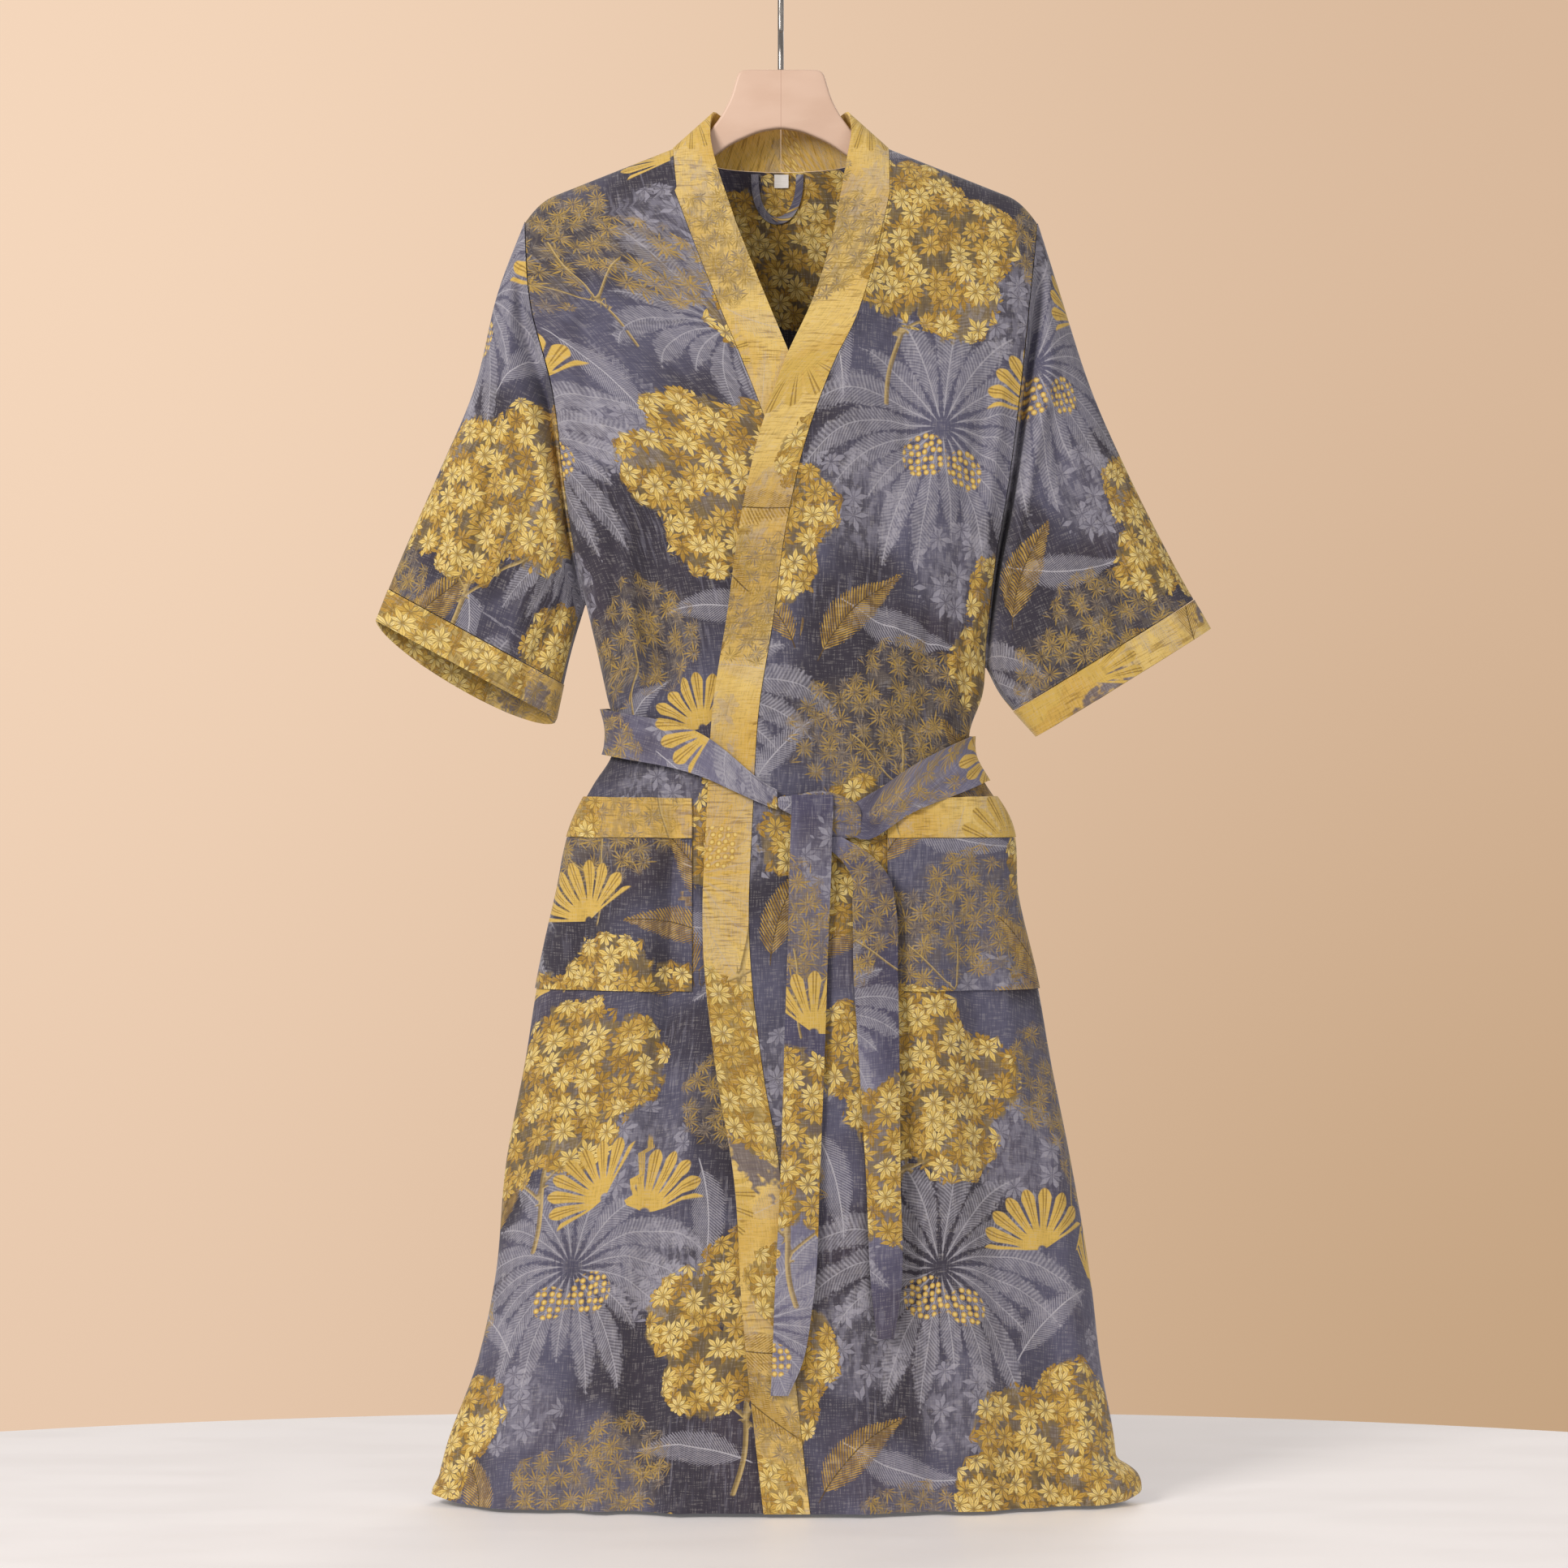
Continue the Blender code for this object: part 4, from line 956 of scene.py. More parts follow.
    def surface_at(self, x: Array, z: Array, face: Face) -> Array:
        """Points of the unfolded body surface at a place below the underarm."""
        return self.body(x, self.level_of(z), face, folded=False)

    def at_height(self, line: Callable[[Array], Array], level: Array, face: Face,
                  start: float) -> Array:
        """Find x on each level where it meets a line given by height, by repeated substitution."""
        x = np.full(np.shape(level), float(start))
        for _ in range(12):
            x = line(self.height(x, level, face))
        return x

    def side_x(self, side: Side, level: Array, face: Face) -> Array:
        """x of the armhole and side seam at each level."""
        return self.at_height(lambda z: column(SIDES, side.word, z), level, face, 180 * side)

    def seam_x(self, side: Side, level: Array) -> Array:
        """x of the seam between a front and its band: the free edge moved by the band's width."""
        def line(z: Array) -> Array:
            """x of the seam at a height."""
            free = column(FREE_EDGES, side.word, z)
            slope = (column(FREE_EDGES, side.word, z + 2) - column(FREE_EDGES, side.word, z - 2)) / 4
            seam = free + side * self.band_width * np.sqrt(1 + slope ** 2)
            beyond = np.maximum(z - FREE_EDGES[0].z, 0)
            corner = np.clip(beyond / self.neck_corner, 0, 1)
            return seam + (side * self.neck_side_x - seam) * corner
        return self.at_height(line, level, Face.FRONT, self.neck_side_x * side)

    @staticmethod
    def spread(start: Array, end: Array, count: int, left: Array, right: Array,
               reach: Array) -> Array:
        """x at equal turns round the section from one line to another, one row for each level."""
        middle, half = (left + right) / 2, (right - left) / 2
        first = np.arcsin(np.clip((start - middle) / half * np.sin(reach), -1, 1))
        last = np.arcsin(np.clip((end - middle) / half * np.sin(reach), -1, 1))
        turn = first[:, None] + (last - first)[:, None] * np.linspace(0, 1, count + 1)
        return middle[:, None] + half[:, None] * np.sin(turn) / np.sin(reach)[:, None]


def level_out(normals: Array, rows: slice, columns: slice | Array) -> None:
    """Take the front-to-back lean out of the normals along a seam that front and back share."""
    normals[rows, columns, 1] = 0
    normals[rows, columns] = unit(normals[rows, columns])


@dataclass
class BodyPanels:
    """The back panel and the two fronts, each one piece from the shoulder to the hem."""

    form: RobeForm
    back_columns: tuple[int, ...] = (30, 26, 26, 30)
    front_columns: tuple[int, int] = (22, 34)
    back_flare: float = 45.0
    pocket_inner: dict[Side, float] = field(
        default_factory=lambda: {Side.LEFT: -73.0, Side.RIGHT: 88.0})
    inner_gap: float = 24.0
    calm_x: float = -58.0
    calm_run: float = 14.0
    curl_from_x: float = 228.0
    curl_to_x: float = 280.0
    curl_z: float = -1264.0
    curl_half: float = 10.0
    curl_out: float = 6.5
    groove_at: float = 0.62
    groove_half: float = 0.14
    groove_in: float = 4.5
    turned_from: tuple[float, float] = (-262.0, -1258.0)
    turned_run: tuple[float, float] = (28.0, 20.0)
    turned_up: float = 5.0
    turned_in: float = 2.0
    grids: dict[str, ClothGrid] = field(default_factory=dict)

    def front(self, side: Side) -> ClothGrid:
        """Grid of one front, from its band seam over the pocket's inner line to the side.

        Args:
            side: Which front; the right one lies on top.

        Returns:
            The front's grid.
        """
        form, levels = self.form, self.form.levels()
        seam = form.seam_x(side, levels) + side * form.seam
        edge = form.side_x(side, levels, Face.FRONT)
        share = self.front_columns[0] / sum(self.front_columns)
        line = np.full(levels.shape, self.pocket_inner[side])
        line = np.where(side * (line - seam) < self.inner_gap, seam + (edge - seam) * share, line)
        left, right = (form.side_x(s, levels, Face.FRONT) for s in Side)
        reach = np.radians(column(DEPTHS, "reach", levels))
        inner = form.spread(seam, line, self.front_columns[0], left, right, reach)
        outer = form.spread(line, edge, self.front_columns[1], left, right, reach)
        x = np.concatenate([inner, outer[:, 1:]], axis=1)
        fall = smooth((x - form.layer_full_x) / (form.layer_ends_x - form.layer_full_x))
        lift = form.layer * (1 - fall) if side is Side.RIGHT else 0.0
        points = form.body(x, levels[:, None], Face.FRONT, lift)
        if side is Side.LEFT:
            plain = form.body(x, levels[:, None], Face.FRONT, folded=False)
            calm = smooth((self.calm_x - x) / self.calm_run)
            points = plain + (points - plain) * calm[..., None]
        self.curl(points, Face.FRONT)
        normals = grid_normals(points, (0, -1, 0))
        level_out(normals, slice(0, 1), slice(None))
        level_out(normals, slice(form.chest_rows - 1, None), slice(-1, None))
        grid = ClothGrid(points, normals)
        grid.lay_hung(CUTS["front_" + side.word])
        grid.mark_stitch(last=9.0, left=2.2)
        return grid

    def back(self) -> ClothGrid:
        """Grid of the back panel, side to side."""
        form, levels = self.form, self.form.levels()
        left, right = (form.side_x(s, levels, Face.BACK) for s in Side)
        reach = np.radians(column(DEPTHS, "reach", levels))
        guide = form.neck_side_x + self.back_flare * smooth(levels - 1)
        lines = (left, -guide, np.zeros(levels.shape), guide, right)
        x = left[:, None]
        for start, end, count in zip(lines[:-1], lines[1:], self.back_columns):
            inner = form.spread(start, end, count, left, right, reach)
            x = np.concatenate([x, inner[:, 1:]], axis=1)
        neck = np.abs(x[0]) < form.neck_side_x - 0.5
        points = form.body(x, levels[:, None], Face.BACK)
        self.curl(points, Face.BACK)
        normals = grid_normals(points, (0, 1, 0))
        level_out(normals, slice(0, 1), np.flatnonzero(~neck))
        for edge in (slice(0, 1), slice(-1, None)):
            level_out(normals, slice(form.chest_rows - 1, None), edge)
        grid = ClothGrid(points, normals)
        grid.lay_hung(CUTS["back_panel"])
        grid.mark_stitch(last=9.0)
        return grid

    def curl(self, points: Array, face: Face) -> None:
        """Roll the hem's right corner outward and turn its left corner up a little.

        The side edge swells by a table of heights, most at the edge; the roll is rounded by a bell
        curve and parted from the skirt by a narrow groove.

        Args:
            points: The panel's points, changed in place.
            face: Front or back.
        """
        x, z = points[..., 0].copy(), points[..., 2].copy()
        near = smooth((x - self.curl_from_x) / (self.curl_to_x - self.curl_from_x))
        swell = through(HEM_CURL, -z) * (z < -HEM_CURL[0][0])
        bell = np.exp(-((z - self.curl_z) / self.curl_half) ** 2)
        points[..., 0] += swell * near ** 2
        groove = np.exp(-((near - self.groove_at) / self.groove_half) ** 2)
        roll = self.curl_out * near ** 3 * (1 - near ** 6) - self.groove_in * groove
        points[..., 1] += face * bell * roll
        turned = (smooth((self.turned_from[0] - x) / self.turned_run[0])
                  * smooth((self.turned_from[1] - z) / self.turned_run[1]))
        points[..., 2] += self.turned_up * turned
        points[..., 0] -= self.turned_in * turned

    def build(self) -> None:
        """Work out the three grids."""
        self.grids = {"back": self.back(), "left": self.front(Side.LEFT),
                      "right": self.front(Side.RIGHT)}

    def dress(self, shop: "Workshop") -> None:
        """Make the three panels."""
        wall = self.form.wall
        names = {"back": "back_panel", "left": "front_left", "right": "front_right"}
        for key, node in names.items():
            piece = Maker.layer(node + "_cloth", self.grids[key], -wall, 0)
            shop.cloth(piece, self.grids[key], [node], Slot.CLOTH, "hung", ["hanger"])


@dataclass
class Sleeve:
    """One sleeve with its cuff, from the armhole ring to the cuff's edge."""

    form: RobeForm
    panels: BodyPanels
    side: Side
    stations: int = 78
    armhole_seam: float = 0.9
    cuff_seam: float = 0.8
    cuff_depth: float = 28.5
    cuff_wall: float = 1.8
    cuff_proud: float = 0.6
    body_share: float = 0.5
    cuff_rows: int = 12
    span: tuple[float, float] = (360.0, 380.0)
    underarm_calm: tuple[float, float] = (1.4, 0.15)

    def ring(self) -> tuple[Array, Array]:
        """The armhole's points and normals: down the front edge and up the back edge."""
        last = self.form.chest_rows - 1
        rows = slice(0, last + 1)
        front, back = self.panels.grids[self.side.word], self.panels.grids["back"]
        edge = 0 if self.side is Side.LEFT else -1
        fronts, backs = front.points[rows, -1], back.points[rows, edge]
        ring = np.concatenate([fronts, backs[-2:0:-1]])
        normals = np.concatenate([front.normals[rows, -1], back.normals[rows, edge][-2:0:-1]])
        for end in (0, last):
            ring[end] = (fronts[end] + backs[end]) / 2
            normals[end] = unit(front.normals[end, -1] + back.normals[end, edge])
        return ring, normals

    def points(self, ring: Array, stations: Array) -> Array:
        """Rings of the sleeve at shares of its length.

        A ring is an ellipse between the top fold and the underarm; the armhole's own ring fades
        into it over the first half. Creases are bell curves across lines on the sleeve.

        Args:
            ring: The armhole's points.
            stations: Shares of the sleeve's length, one for a ring or one for each of its points.

        Returns:
            One ring for each row of shares.
        """
        chest = self.form.levels()[:self.form.chest_rows]
        level = np.concatenate([chest, chest[-2:0:-1]])
        face = np.concatenate([-np.ones(len(chest)), np.ones(len(chest) - 2)])
        round_share = 2 * np.sqrt(level * (1 - level))

        def loose(share: Array) -> Array:
            """The ellipse of each share, with no armhole in it."""
            top = through(SLEEVE_TOPS[self.side], share)
            under = through(SLEEVE_UNDERS[self.side], share)
            depth = through(SLEEVE_DEPTHS, share)
            down = top + (under - top) * level[:, None]
            sink = CUFF_TILT[self.side] * share ** 2 * np.where(face > 0, round_share, 0)
            return np.stack([down[..., 0], face * depth * round_share, down[..., 1] - sink], axis=-1)

        share = np.asarray(stations, dtype=float)
        if share.ndim == 1:
            share = np.repeat(share[:, None], len(level), axis=1)
        away = ring + np.array([self.side * self.armhole_seam, 0, 0]) - loose(np.zeros(len(level)))
        points = loose(share) + away * (1 - smooth(share / self.body_share))[..., None]
        push = np.zeros(points.shape[:2])
        for fold in SLEEVE_CREASES[self.side]:
            a = np.array([fold.share_top, fold.level_top]) * self.span
            b = np.array([fold.share_low, fold.level_low]) * self.span
            along = (b - a) / np.linalg.norm(b - a)
            from_a = np.stack(np.broadcast_arrays(share * self.span[0] - a[0],
                                                  level[None] * self.span[1] - a[1]), -1)
            run = from_a @ along / np.linalg.norm(b - a)
            across = from_a @ np.array([-along[1], along[0]])
            bell = np.exp(-(across / fold.width) ** 2) * smooth(run * 4 + 0.5) * smooth(4.5 - run * 4)
            push += np.where(face == fold.face, fold.depth * bell, 0)
        gain, less = self.underarm_calm
        push *= np.clip(round_share * gain - less, 0, 1) * smooth(share / 0.03)
        points[..., 1] += face * push
        return points

    def share_above_edge(self, ring: Array, depth: float) -> Array:
        """Share of the length, on each line down the sleeve, that lies above the cuff's edge.

        Args:
            ring: The armhole's points.
            depth: Millimetres above the edge, square to it, so that the cuff is even all round.

        Returns:
            One share for each of the ring's points.
        """
        shares = np.linspace(0.3, 1, 71)
        lines = self.points(ring, shares)
        edge = unit(np.array(SLEEVE_TOPS[self.side][-1][1:]) - SLEEVE_UNDERS[self.side][-1][1:])
        to_edge = lines - lines[-1]
        far = np.abs(to_edge[..., 0] * edge[1] - to_edge[..., 2] * edge[0])
        row = len(shares) - 1 - np.argmax(far[::-1] > depth, axis=0)
        line = np.arange(far.shape[1])
        part = (far[row, line] - depth) / (far[row, line] - far[row + 1, line])
        return shares[row] + part * (shares[1] - shares[0])

    def tube(self, points: Array, first_normals: Array) -> ClothGrid:
        """A grid of rings with its normals pointing out, the first ring's given."""
        normals = grid_normals(points, points - points.mean(axis=1, keepdims=True), wrap=True)
        normals[0] = first_normals
        return ClothGrid(points, normals, wrap=True)

    def dress(self, shop: "Workshop") -> None:
        """Make the sleeve and its cuff."""
        word = self.side.word
        ring, normals = self.ring()
        start = self.share_above_edge(ring, self.cuff_depth)
        points = self.points(ring, np.linspace(0, 1, self.stations)[:, None] * start)
        grid = self.tube(points, unit(normals - np.array([0.1 * self.side, 0, 0])))
        fold = np.array([(x, z) for share, x, z in SLEEVE_TOPS[self.side] if share in (0, 1)])
        grid.lay_over(CUTS["sleeve_" + word], fold)
        grid.mark_stitch(first=2.4, last=1.6)
        piece = Maker.layer(f"sleeve_{word}_cloth", grid, -self.form.wall, 0)
        shop.cloth(piece, grid, ["sleeve_" + word], Slot.CLOTH, "hung", [f"front_{word}_cloth"])
        start = self.share_above_edge(ring, self.cuff_depth - self.cuff_seam)
        points = self.points(ring, np.linspace(start, np.ones(len(start)), self.cuff_rows))
        grid = self.tube(points, grid.normals[-1])
        grid.lay_plane(CUTS["cuff_" + word])
        grid.mark_stitch(first=1.8, last=1.6)
        piece = Maker.layer(f"cuff_{word}_trim", grid, self.cuff_proud - self.cuff_wall,
                            self.cuff_proud)
        shop.cloth(piece, grid, ["cuff_" + word], Slot.TRIM, "hung", [f"sleeve_{word}_cloth"])


@dataclass
class Neckband:
    """The neckband: two halves joined at the centre back, each running down its front's edge."""

    form: RobeForm
    panels: BodyPanels
    columns: int = 12
    thick: float = 1.8
    proud: float = 0.6
    neck_starts_z: float = -215.0
    stand_off: float = 3.2
    open_ends_z: tuple[float, float] = (-1260.0, -240.0)
    open_runs: tuple[float, float] = (120.0, 90.0)
    belt_z: float = -690.0
    belt_clear: float = 30.0
    belt_run: float = 60.0

    def grid(self, side: Side) -> ClothGrid:
        """Grid of one half, from the hem up the front, over the shoulder and to the centre back.

        Rows run from the seam to the free edge in a straight line; the free edge over the neck is
        the named curve.

        Args:
            side: Which half.

        Returns:
            The half's grid.
        """
        form = self.form
        front, back = self.panels.grids[side.word], self.panels.grids["back"]
        levels, counts = form.levels(), self.panels.back_columns
        seam = front.points[:, 0]
        first = int(np.flatnonzero(seam[:, 2] > self.neck_starts_z)[-1])
        start = counts[0] if side is Side.LEFT else sum(counts[:3])
        columns = start - side * np.arange(1, counts[1] + 1)
        neckline = back.points[0, columns].copy()
        neckline[-1, 0] = side * form.seam / 2
        ring = np.concatenate([seam[first::-1], neckline])
        ring_normals = np.concatenate([front.normals[first::-1, 0], back.normals[0, columns]])
        rows = np.arange(len(levels) - 1, first, -1)
        lift = form.layer if side is Side.RIGHT else 0.0
        free_x = column(FREE_EDGES, side.word, seam[rows, 2])
        free_low = form.body(free_x, levels[rows], Face.FRONT, lift, folded=side is Side.RIGHT)
        free_low[:, 2] = seam[rows, 2]
        run = np.append(0, np.cumsum(np.linalg.norm(np.diff(ring, axis=0), axis=1)))
        table = [(row.share * run[-1], side * row.x, row.y - 0.3 * lift * (1 - row.share), row.z)
                 for row in NECK_EDGE]
        gap = np.linalg.norm(ring[0] - seam[rows[-1]])
        table.insert(0, (-gap, *free_low[-1]))
        free = np.concatenate([free_low, through(table, run)])
        whole = np.concatenate([seam[rows], ring])
        across = np.linspace(0, 1, self.columns)[None, :, None]
        points = whole[:, None] + (free - whole)[:, None] * across
        if side is Side.RIGHT:
            height = whole[:, 2]
            (low, high), (low_run, high_run) = self.open_ends_z, self.open_runs
            open_share = smooth((height - low) / low_run) * smooth((high - height) / high_run)
            calm = smooth((np.abs(height - self.belt_z) - self.belt_clear) / self.belt_run)
            points[..., 1] -= (self.stand_off * open_share * calm)[:, None] * across[..., 0] ** 2
        normals = grid_normals(points, (0, -0.2, 1))
        points[:, 0] += unit(free - whole) * form.seam
        normals[:, 0] = np.concatenate([front.normals[rows, 0], ring_normals])
        grid = ClothGrid(points, normals)
        grid.lay_flat(CUTS["band_" + side.word])
        grid.mark_stitch(left=1.8, right=1.6)
        return grid

    def dress(self, shop: "Workshop") -> None:
        """Make both halves."""
        for side in Side:
            grid = self.grid(side)
            piece = Maker.layer(f"band_{side.word}_trim", grid, self.proud - self.thick, self.proud)
            shop.cloth(piece, grid, ["band_" + side.word], Slot.TRIM, "hung",
                       [f"front_{side.word}_cloth", "back_panel_cloth"])


@dataclass
class Pocket:
    """A patch pocket and the band along its mouth, laid on its front's own points."""

    form: RobeForm
    panels: BodyPanels
    side: Side
    gap: float = 0.4
    wall: float = 1.2
    band_wall: float = 2.0
    mouth_open: float = 2.6
    mouth_run: float = 1.6

    def dress(self, shop: "Workshop") -> None:
        """Make the pocket and its band."""
        front, levels = self.panels.grids[self.side.word], self.form.levels()
        rows = [int(np.argmin(np.abs(levels - level))) for level in self.form.pocket_levels]
        first = self.panels.front_columns[0]
        word = self.side.word
        for node, low, high, wall, slot in (
                ("pocket_", rows[1], rows[2], self.wall, Slot.CLOTH),
                ("pocket_band_", rows[0], rows[1], self.band_wall, Slot.TRIM)):
            points = front.points[low:high + 1, first:].copy()
            down = (levels[low:high + 1] - levels[rows[0]]) / (levels[rows[2]] - levels[rows[0]])
            across = np.linspace(0, 1, points.shape[1])
            off = self.mouth_open * (1 - smooth(down * self.mouth_run))[:, None]
            off = (off * np.sin(math.pi * across))[..., None]
            if slot is Slot.TRIM:
                points[-1, :, 2] += self.form.seam
            grid = ClothGrid(points, front.normals[low:high + 1, first:])
            grid.lay_flat(CUTS[node + word])
            grid.mark_stitch(left=1.8, right=1.8, last=1.8)
            piece = Maker.layer(f"{node}{word}_{slot.value}", grid, self.gap + off,
                                self.gap + wall + off)
            shop.cloth(piece, grid, [node + word], slot, "hung", [f"front_{word}_cloth"])


@dataclass
class Belt:
    """The cloth belt: round the waist, its knot and its two hanging ends."""

    form: RobeForm
    half: float = 19.0
    wall: float = 1.6
    off_front: float = 4.2
    off_back: float = 2.0
    rise: float = 3.2
    rise_run: float = 22.0
    tail_wall: float = 1.5
    knot_x: float = 32.0
    knot_z: float = -706.0
    knot_half: tuple[float, float, float] = (34.3, 5.0, 18.5)
    knot_off: float = 8.5
    knot_slim: float = 0.42
    knot_drop: float = 8.0
    right_sag: float = 7.0
    right_sag_x: float = 66.0
    right_sag_half: float = 34.0
    side_from: float = 0.6
    pinch_left: float = 0.56
    pinch_left_x: float = -2.0
    pinch_left_half: float = 42.0
    pinch_right: float = 0.58
    pinch_right_x: float = 76.0
    pinch_right_run: float = 34.0
    right_ends_x: float = 45.5
    right_rise: float = 4.4
    right_rise_x: float = 94.0
    right_rise_run: float = 34.0
    middle_x: float = 20.0
    pleats: tuple[tuple[float, ...], ...] = ((1.5, 0.35, -900.0, 0.22), (1.1, -0.45, 1500.0, 0.18))
    grooves: tuple[tuple[float, ...], ...] = ((0.34, 0.28, 0.25, 0.13), (0.28, -0.42, 0.18, 0.12))
    knot_turns: int = 96
    knot_rings: int = 70
    rows: int = 13
    tail_rows: int = 110
    tail_columns: int = 11
    stations: tuple[int, int, int] = (40, 90, 30)

    def waist(self) -> tuple[ClothGrid, Array]:
        """Grid of the stretch round the waist, from the knot round the back to the knot again."""
        form = self.form
        across = np.linspace(-self.half, self.half, self.rows)[:, None]
        stretches = []
        for table, count in ((BELT_LEFT, self.stations[0]), (BELT_RIGHT, self.stations[2])):
            (side_x, side_z), (knot_x, _) = table[0], table[-1]
            knot_x = knot_x if side_x < 0 else self.right_ends_x
            name = "left" if side_x < 0 else "right"
            limit = abs(column(SIDES, name, side_z))
            turn = np.linspace(math.asin(knot_x / limit), math.copysign(math.pi / 2, side_x), count)
            share = np.sin(turn)
            z = form.belt_line(share * limit, Face.FRONT) + across * self.pinch(share * limit)
            sag = np.exp(-((share * limit - self.right_sag_x) / self.right_sag_half) ** 2)
            z = z - self.right_sag * sag
            side = np.abs(column(SIDES, name, z)) - limit
            near_side = smooth((np.abs(share) - self.side_from) / (1 - self.side_from))
            stretches.append(((limit + side * near_side) * share, z, Face.FRONT))
        share = np.sin(np.linspace(-math.pi / 2, math.pi / 2, self.stations[1] + 2)[1:-1])
        middle = (BELT_LEFT[0][0] + BELT_RIGHT[0][0]) / 2
        half = (BELT_RIGHT[0][0] - BELT_LEFT[0][0]) / 2
        z = form.belt_line(middle + half * share, Face.BACK) + across
        left, right = column(SIDES, "left", z), column(SIDES, "right", z)
        stretches.insert(1, ((left + right) / 2 + (right - left) / 2 * share, z, Face.BACK))
        x, z, _ = stretches[2]
        stretches[2] = (x[:, ::-1], z[:, ::-1], Face.FRONT)
        points = np.concatenate([form.surface_at(x, z, face) for x, z, face in stretches], axis=1)
        normals = grid_normals(points, points - points.mean(axis=1, keepdims=True))
        normals[:, :, 2] *= 0.3
        grid = ClothGrid(points, unit(normals))
        grid.lay_flat(CUTS["belt_waist"])
        grid.mark_stitch(first=1.4, last=1.4)
        return grid, self.off_body(points, across / self.half)[..., None]

    def off_body(self, points: Array, place: Array) -> Array:
        """How far the belt stands off the robe: over the fronts, up on the knot, and its pleats.

        Args:
            points: The belt's points on the robe.
            place: Place across the belt, from -1 to 1.

        Returns:
            Millimetres at each point.
        """
        toward_front = smooth((self.off_front - points[..., 1]) / (2 * self.off_front))
        off = self.off_back + (self.off_front - self.off_back) * toward_front
        x, front = points[..., 0], points[..., 1] < 0
        left = smooth(1 + (x - BELT_LEFT[-1][0]) / -self.rise_run) * front * (x < self.middle_x)
        right = smooth((self.right_rise_x - x) / self.right_rise_run) * front * (x > self.middle_x)
        off = off + self.rise * left
        off = off + self.right_rise * right
        run = arc(points, 1)
        pleat = sum(height * np.exp(-((place - at - run / drift) / half) ** 2)
                    for height, at, drift, half in self.pleats)
        pleat += 0.35 * np.sin(run / 8.0 + 3 * place) * (1 - place ** 2)
        return off + pleat * smooth(-points[..., 1] / 20)

    def pinch(self, x: Array) -> Array:
        """Share of its width that the belt keeps at x, where the knot pulls it together."""
        far = np.maximum(self.pinch_left_x - x, 0) / self.pinch_left_half
        left = np.exp(-far ** 2) * (x < self.knot_x)
        right = smooth((self.pinch_right_x - x) / self.pinch_right_run) * (x >= self.knot_x)
        return 1 - self.pinch_left * left - self.pinch_right * right

    def tail(self, table: tuple[TailRow, ...], roll: float, bend: float) -> ClothGrid:
        """A hanging end: a strip that follows the front at its own distance.

        Args:
            table: Its edges down its length.
            roll: Millimetres that its edges curl back from its middle.
            bend: Phase of its soft waves.

        Returns:
            The strip's grid.
        """
        heights = np.linspace(table[0].z, table[-1].z, self.tail_rows)
        left, right = column(table, "left", heights), column(table, "right", heights)
        off = column(table, "off", heights)
        share = np.linspace(0, 1, self.tail_columns)
        x = left[:, None] + (right - left)[:, None] * share
        z = np.broadcast_to(heights[:, None], x.shape)
        points = self.form.surface_at(x, z, Face.FRONT)
        wave = roll * np.sin(math.pi * share) + 0.8 * np.sin(z / 34 + bend + 2 * share)
        points[..., 1] -= off[:, None] + wave * smooth((table[0].z - z) / 50)
        normals = grid_normals(points, (0, -1, 0))
        grid = ClothGrid(points, normals)
        grid.mark_stitch(left=1.4, right=1.4, last=1.4)
        return grid

    def knot(self) -> ClothGrid:
        """The knot: a flattened lump that is slim at its left end and full at its right.

        Its sections are ellipses whose half height goes as the root of a sine times a soft step,
        its middle line slopes down to the right, and two grooves and fine pleats run along it.
        """
        polar = np.linspace(0.02, math.pi - 0.02, self.knot_rings)[:, None]
        angle = np.arange(self.knot_turns)[None, :] * 2 * math.pi / self.knot_turns
        place = np.cos(polar)
        radius = np.sin(polar) ** 0.4
        tall = self.knot_half[2] * radius * (self.knot_slim + (1 - self.knot_slim)
                                             * smooth((place + 0.9) / 1.1))
        deep = self.knot_half[1] * radius * (0.55 + 0.45 * smooth((place + 0.9) / 0.8))
        high = np.cos(angle)
        groove = sum(cut * np.exp(-((high - at - slope * place) / half) ** 2)
                     for cut, at, slope, half in self.grooves)
        groove += 0.07 * np.sin(19 * high + 3 * place)
        x = self.knot_half[0] * place * np.ones_like(angle)
        y = -deep * (1 - groove * (np.sin(angle) > 0)) * np.sin(angle)
        z = tall * high - self.knot_drop * place
        front = self.form.surface_at(np.array(self.knot_x), np.array(self.knot_z), Face.FRONT)
        points = np.stack([x, y, z], axis=-1) + np.array(
            [self.knot_x, front[1] - self.knot_off, self.knot_z + 2])
        normals = grid_normals(points, points - points.mean(axis=1, keepdims=True), wrap=True)
        grid = ClothGrid(points, normals, wrap=True)
        grid.lay_plane(CUTS["belt_knot"])
        return grid

    def dress(self, shop: "Workshop") -> None:
        """Make the four pieces of the belt."""
        grid, off = self.waist()
        piece = Maker.layer("belt_waist_cloth", grid, off, off + self.wall)
        shop.cloth(piece, grid, ["belt_waist"], Slot.BELT, "draped",
                   ["front_right_cloth", "back_panel_cloth"])
        shop.plain(Maker.lump("belt_knot_cloth", self.knot()), ["belt_knot"], Slot.BELT)
        for node, table, roll, bend in (("belt_tail_front", TAIL_FRONT, 1.2, 0.4),
                                        ("belt_tail_side", TAIL_SIDE, 2.0, 1.6)):
            grid = self.tail(table, roll, bend)
            grid.lay_flat(CUTS[node])
            piece = Maker.layer(node + "_cloth", grid, 0, self.tail_wall)
            shop.cloth(piece, grid, [node], Slot.BELT, "hung", ["belt_knot_cloth"])


